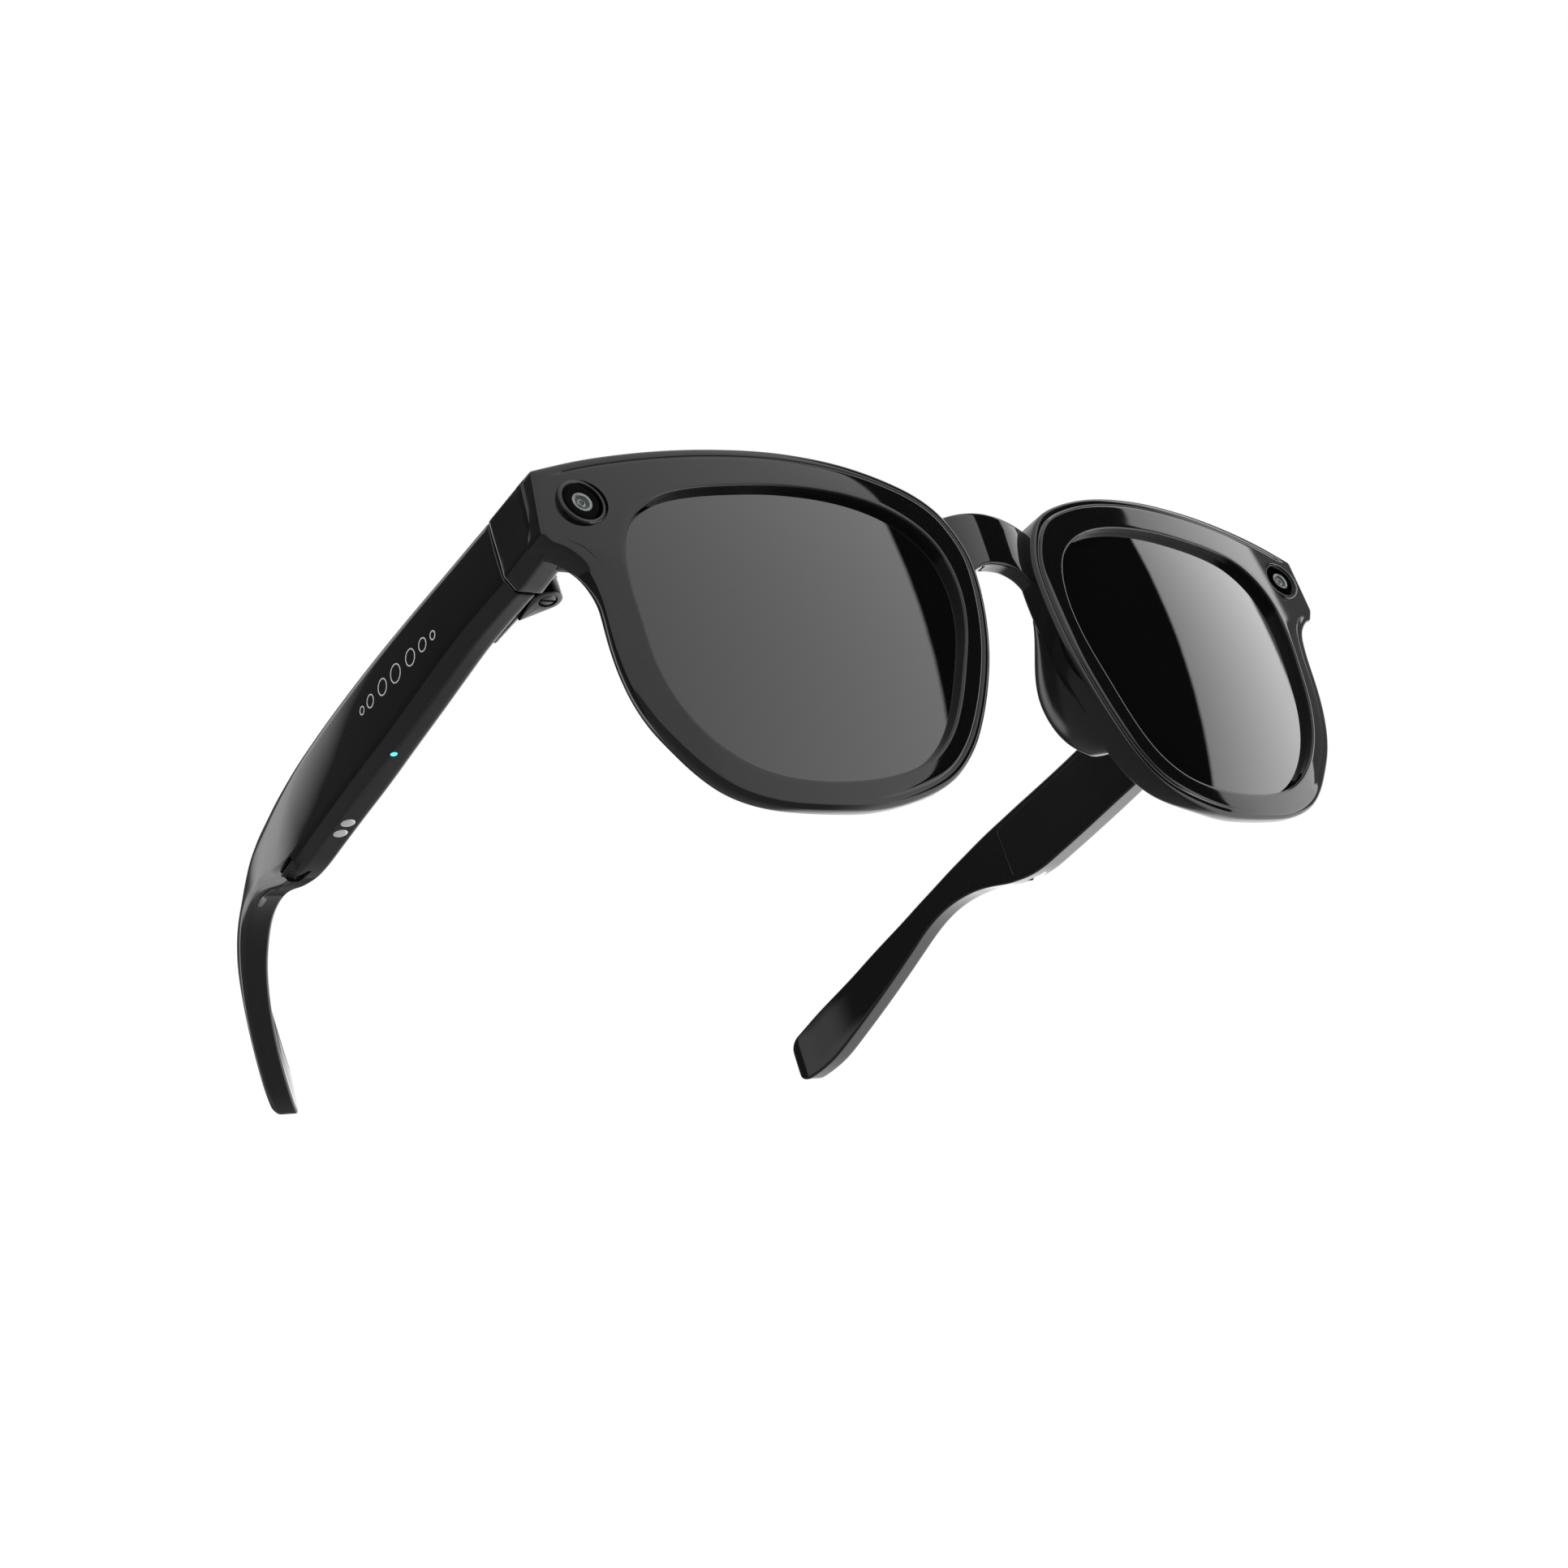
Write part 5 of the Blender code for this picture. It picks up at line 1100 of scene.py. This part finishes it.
# ------------------------------------------------------------------------------------------------
# Floor, light and camera. A pale floor seen only from above, a bright room with dark gaps between
# its long soft panels, and a camera below and to the wearer's right of the glasses.
def floor_surface():
    """A round floor as one disc, a hair below the glasses."""
    angle = np.linspace(0.0, 2 * math.pi, 96, endpoint=False)
    radius, gap = 2.5, 0.0005
    ring = np.stack([radius * np.cos(angle), radius * np.sin(angle), 0 * angle - gap], axis=-1)
    mesh = bpy.data.meshes.new("floor")
    mesh.from_pydata(ring.tolist(), [], [list(range(len(ring)))])
    floor = bpy.data.objects.new("floor", mesh)
    bpy.context.scene.collection.objects.link(floor)
    return floor


def floor_paint():
    """Pale matt paint. Seen from below or in a reflection it is clear: a mix of paint and clear by
    the larger of Backfacing and Is Glossy Ray."""
    made = bpy.data.materials.new("floor_paint")
    made.use_nodes = True
    nodes, links = made.node_tree.nodes, made.node_tree.links
    shader = nodes["Principled BSDF"]
    shader.inputs["Roughness"].default_value = 0.7
    noise = nodes.new("ShaderNodeTexNoise")
    noise.inputs["Scale"].default_value = 3.0
    tint = nodes.new("ShaderNodeMix")
    tint.data_type = "RGBA"
    tint.inputs["A"].default_value = (0.78, 0.78, 0.78, 1.0)
    tint.inputs["B"].default_value = (0.82, 0.82, 0.82, 1.0)
    links.new(noise.outputs["Fac"], tint.inputs["Factor"])
    links.new(tint.outputs["Result"], shader.inputs["Base Color"])
    clear = nodes.new("ShaderNodeBsdfTransparent")
    side = nodes.new("ShaderNodeNewGeometry")
    path = nodes.new("ShaderNodeLightPath")
    open_to = nodes.new("ShaderNodeMath")
    open_to.operation = "MAXIMUM"
    links.new(side.outputs["Backfacing"], open_to.inputs[0])
    links.new(path.outputs["Is Glossy Ray"], open_to.inputs[1])
    choose = nodes.new("ShaderNodeMixShader")
    links.new(open_to.outputs[0], choose.inputs["Fac"])
    links.new(shader.outputs[0], choose.inputs[1])
    links.new(clear.outputs[0], choose.inputs[2])
    links.new(choose.outputs[0], nodes["Material Output"].inputs["Surface"])
    return made


floor = floor_surface()
floor.data.materials.append(floor_paint())

# Each panel edge is an upright plane through the glasses, given by its normal.
FIRST_EDGE = (0.8043, 0.5735, -0.1554)
SECOND_EDGE = (0.5908, 0.7811, -0.2022)
THIRD_EDGE = (0.4167, 0.8908, -0.1811)


def studio():
    """The room's light, by direction. Ahead of the glasses stand panel A, a dark gap, panel B and a dim
    end. Behind them is a dim room with one soft panel at the back and one at the wearer's left.
    Straight up is white, and the floor's light grows brighter to the wearer's left. The camera
    itself sees plain white."""
    world = bpy.data.worlds.new("studio")
    bpy.context.scene.world = world
    world.use_nodes = True
    nodes, links = world.node_tree.nodes, world.node_tree.links
    nodes.clear()
    place = nodes.new("ShaderNodeTexCoord")

    def math_node(operation, first, second):
        node = nodes.new("ShaderNodeMath")
        node.operation = operation
        for socket, value in zip(node.inputs, (first, second)):
            if isinstance(value, (int, float)):
                socket.default_value = value
            else:
                links.new(value, socket)
        return node.outputs[0]

    def towards(normal):
        node = nodes.new("ShaderNodeVectorMath")
        node.operation = "DOT_PRODUCT"
        node.inputs[1].default_value = normal
        links.new(place.outputs["Generated"], node.inputs[0])
        return node.outputs["Value"]

    def ramp(value, low, high, at_low, at_high, smooth=True):
        node = nodes.new("ShaderNodeMapRange")
        node.interpolation_type = "SMOOTHSTEP" if smooth else "LINEAR"
        sizes = {"From Min": low, "From Max": high, "To Min": at_low, "To Max": at_high}
        for name, number in sizes.items():
            node.inputs[name].default_value = number
        links.new(value, node.inputs["Value"])
        return node.outputs["Result"]

    def times(one, other):
        return math_node("MULTIPLY", one, other)

    def plus(one, other):
        return math_node("ADD", one, other)

    def without(share):
        return math_node("SUBTRACT", 1.0, share)

    first, second, third = (
        ramp(towards(edge), -0.004, 0.004, 0.0, 1.0) for edge in (FIRST_EDGE, SECOND_EDGE, THIRD_EDGE)
    )
    panel_a = ramp(towards(FIRST_EDGE), -0.36, -0.01, 1.05, 1.7, False)
    panel_b = ramp(towards(SECOND_EDGE), 0.0, 0.17, 1.7, 3.4, False)
    gap = times(times(first, without(second)), 0.015)
    bright = times(times(panel_b, second), without(third))
    panels = plus(plus(times(panel_a, without(first)), gap), plus(bright, times(third, 0.3)))
    across = towards((1.0, 0.0, 0.0))
    back_panel = times(ramp(across, -0.465, -0.35, 0.0, 1.5, False), ramp(across, -0.32, -0.06, 1.0, 0.0))
    side_panel = ramp(across, 0.44, 0.58, 0.0, 1.6)
    rear = plus(plus(back_panel, side_panel), 0.1)
    forward = ramp(towards((0.0, -1.0, 0.0)), 0.02, 0.12, 0.0, 1.0)
    above = ramp(towards((0.0, 0.0, 1.0)), 0.62, 0.85, 0.0, 1.0)
    below = ramp(towards((0.0, 0.0, -1.0)), 0.02, 0.12, 0.0, 1.0)
    under = ramp(across, 0.4, 0.62, 0.3, 2.2)
    light = plus(times(panels, forward), times(rear, without(forward)))
    light = plus(times(light, without(above)), above)
    light = plus(times(light, without(below)), times(under, below))
    camera_ray = nodes.new("ShaderNodeLightPath").outputs["Is Camera Ray"]
    seen = plus(times(light, without(camera_ray)), camera_ray)
    background = nodes.new("ShaderNodeBackground")
    background.inputs["Color"].default_value = (1.0, 1.0, 1.0, 1.0)
    links.new(seen, background.inputs["Strength"])
    out = nodes.new("ShaderNodeOutputWorld")
    links.new(background.outputs[0], out.inputs["Surface"])


studio()
bpy.context.scene.view_settings.view_transform = "Standard"

CAMERA_PLACE = (-209.295, -187.823, -145.743)
CAMERA_RIGHT = np.array([0.817045, -0.502921, -0.281971])
CAMERA_AHEAD = np.array([0.576069, 0.69161, 0.435683])
CAMERA_UP = np.array([-0.0241, -0.518407, 0.854794])


def place_camera():
    """A 50 mm lens on a 36 mm square picture, at its place and turned by its three directions."""
    data = bpy.data.cameras.new("camera")
    data.lens = 50.0
    data.sensor_width = 36.0
    data.clip_start = 0.01
    camera = bpy.data.objects.new("camera", data)
    bpy.context.scene.collection.objects.link(camera)
    matrix = np.eye(4)
    matrix[:3, 0] = CAMERA_RIGHT
    matrix[:3, 1] = CAMERA_UP
    matrix[:3, 2] = -CAMERA_AHEAD
    matrix[:3, 3] = level(CAMERA_PLACE)
    camera.matrix_world = Matrix(matrix.tolist())
    bpy.context.scene.camera = camera


place_camera()
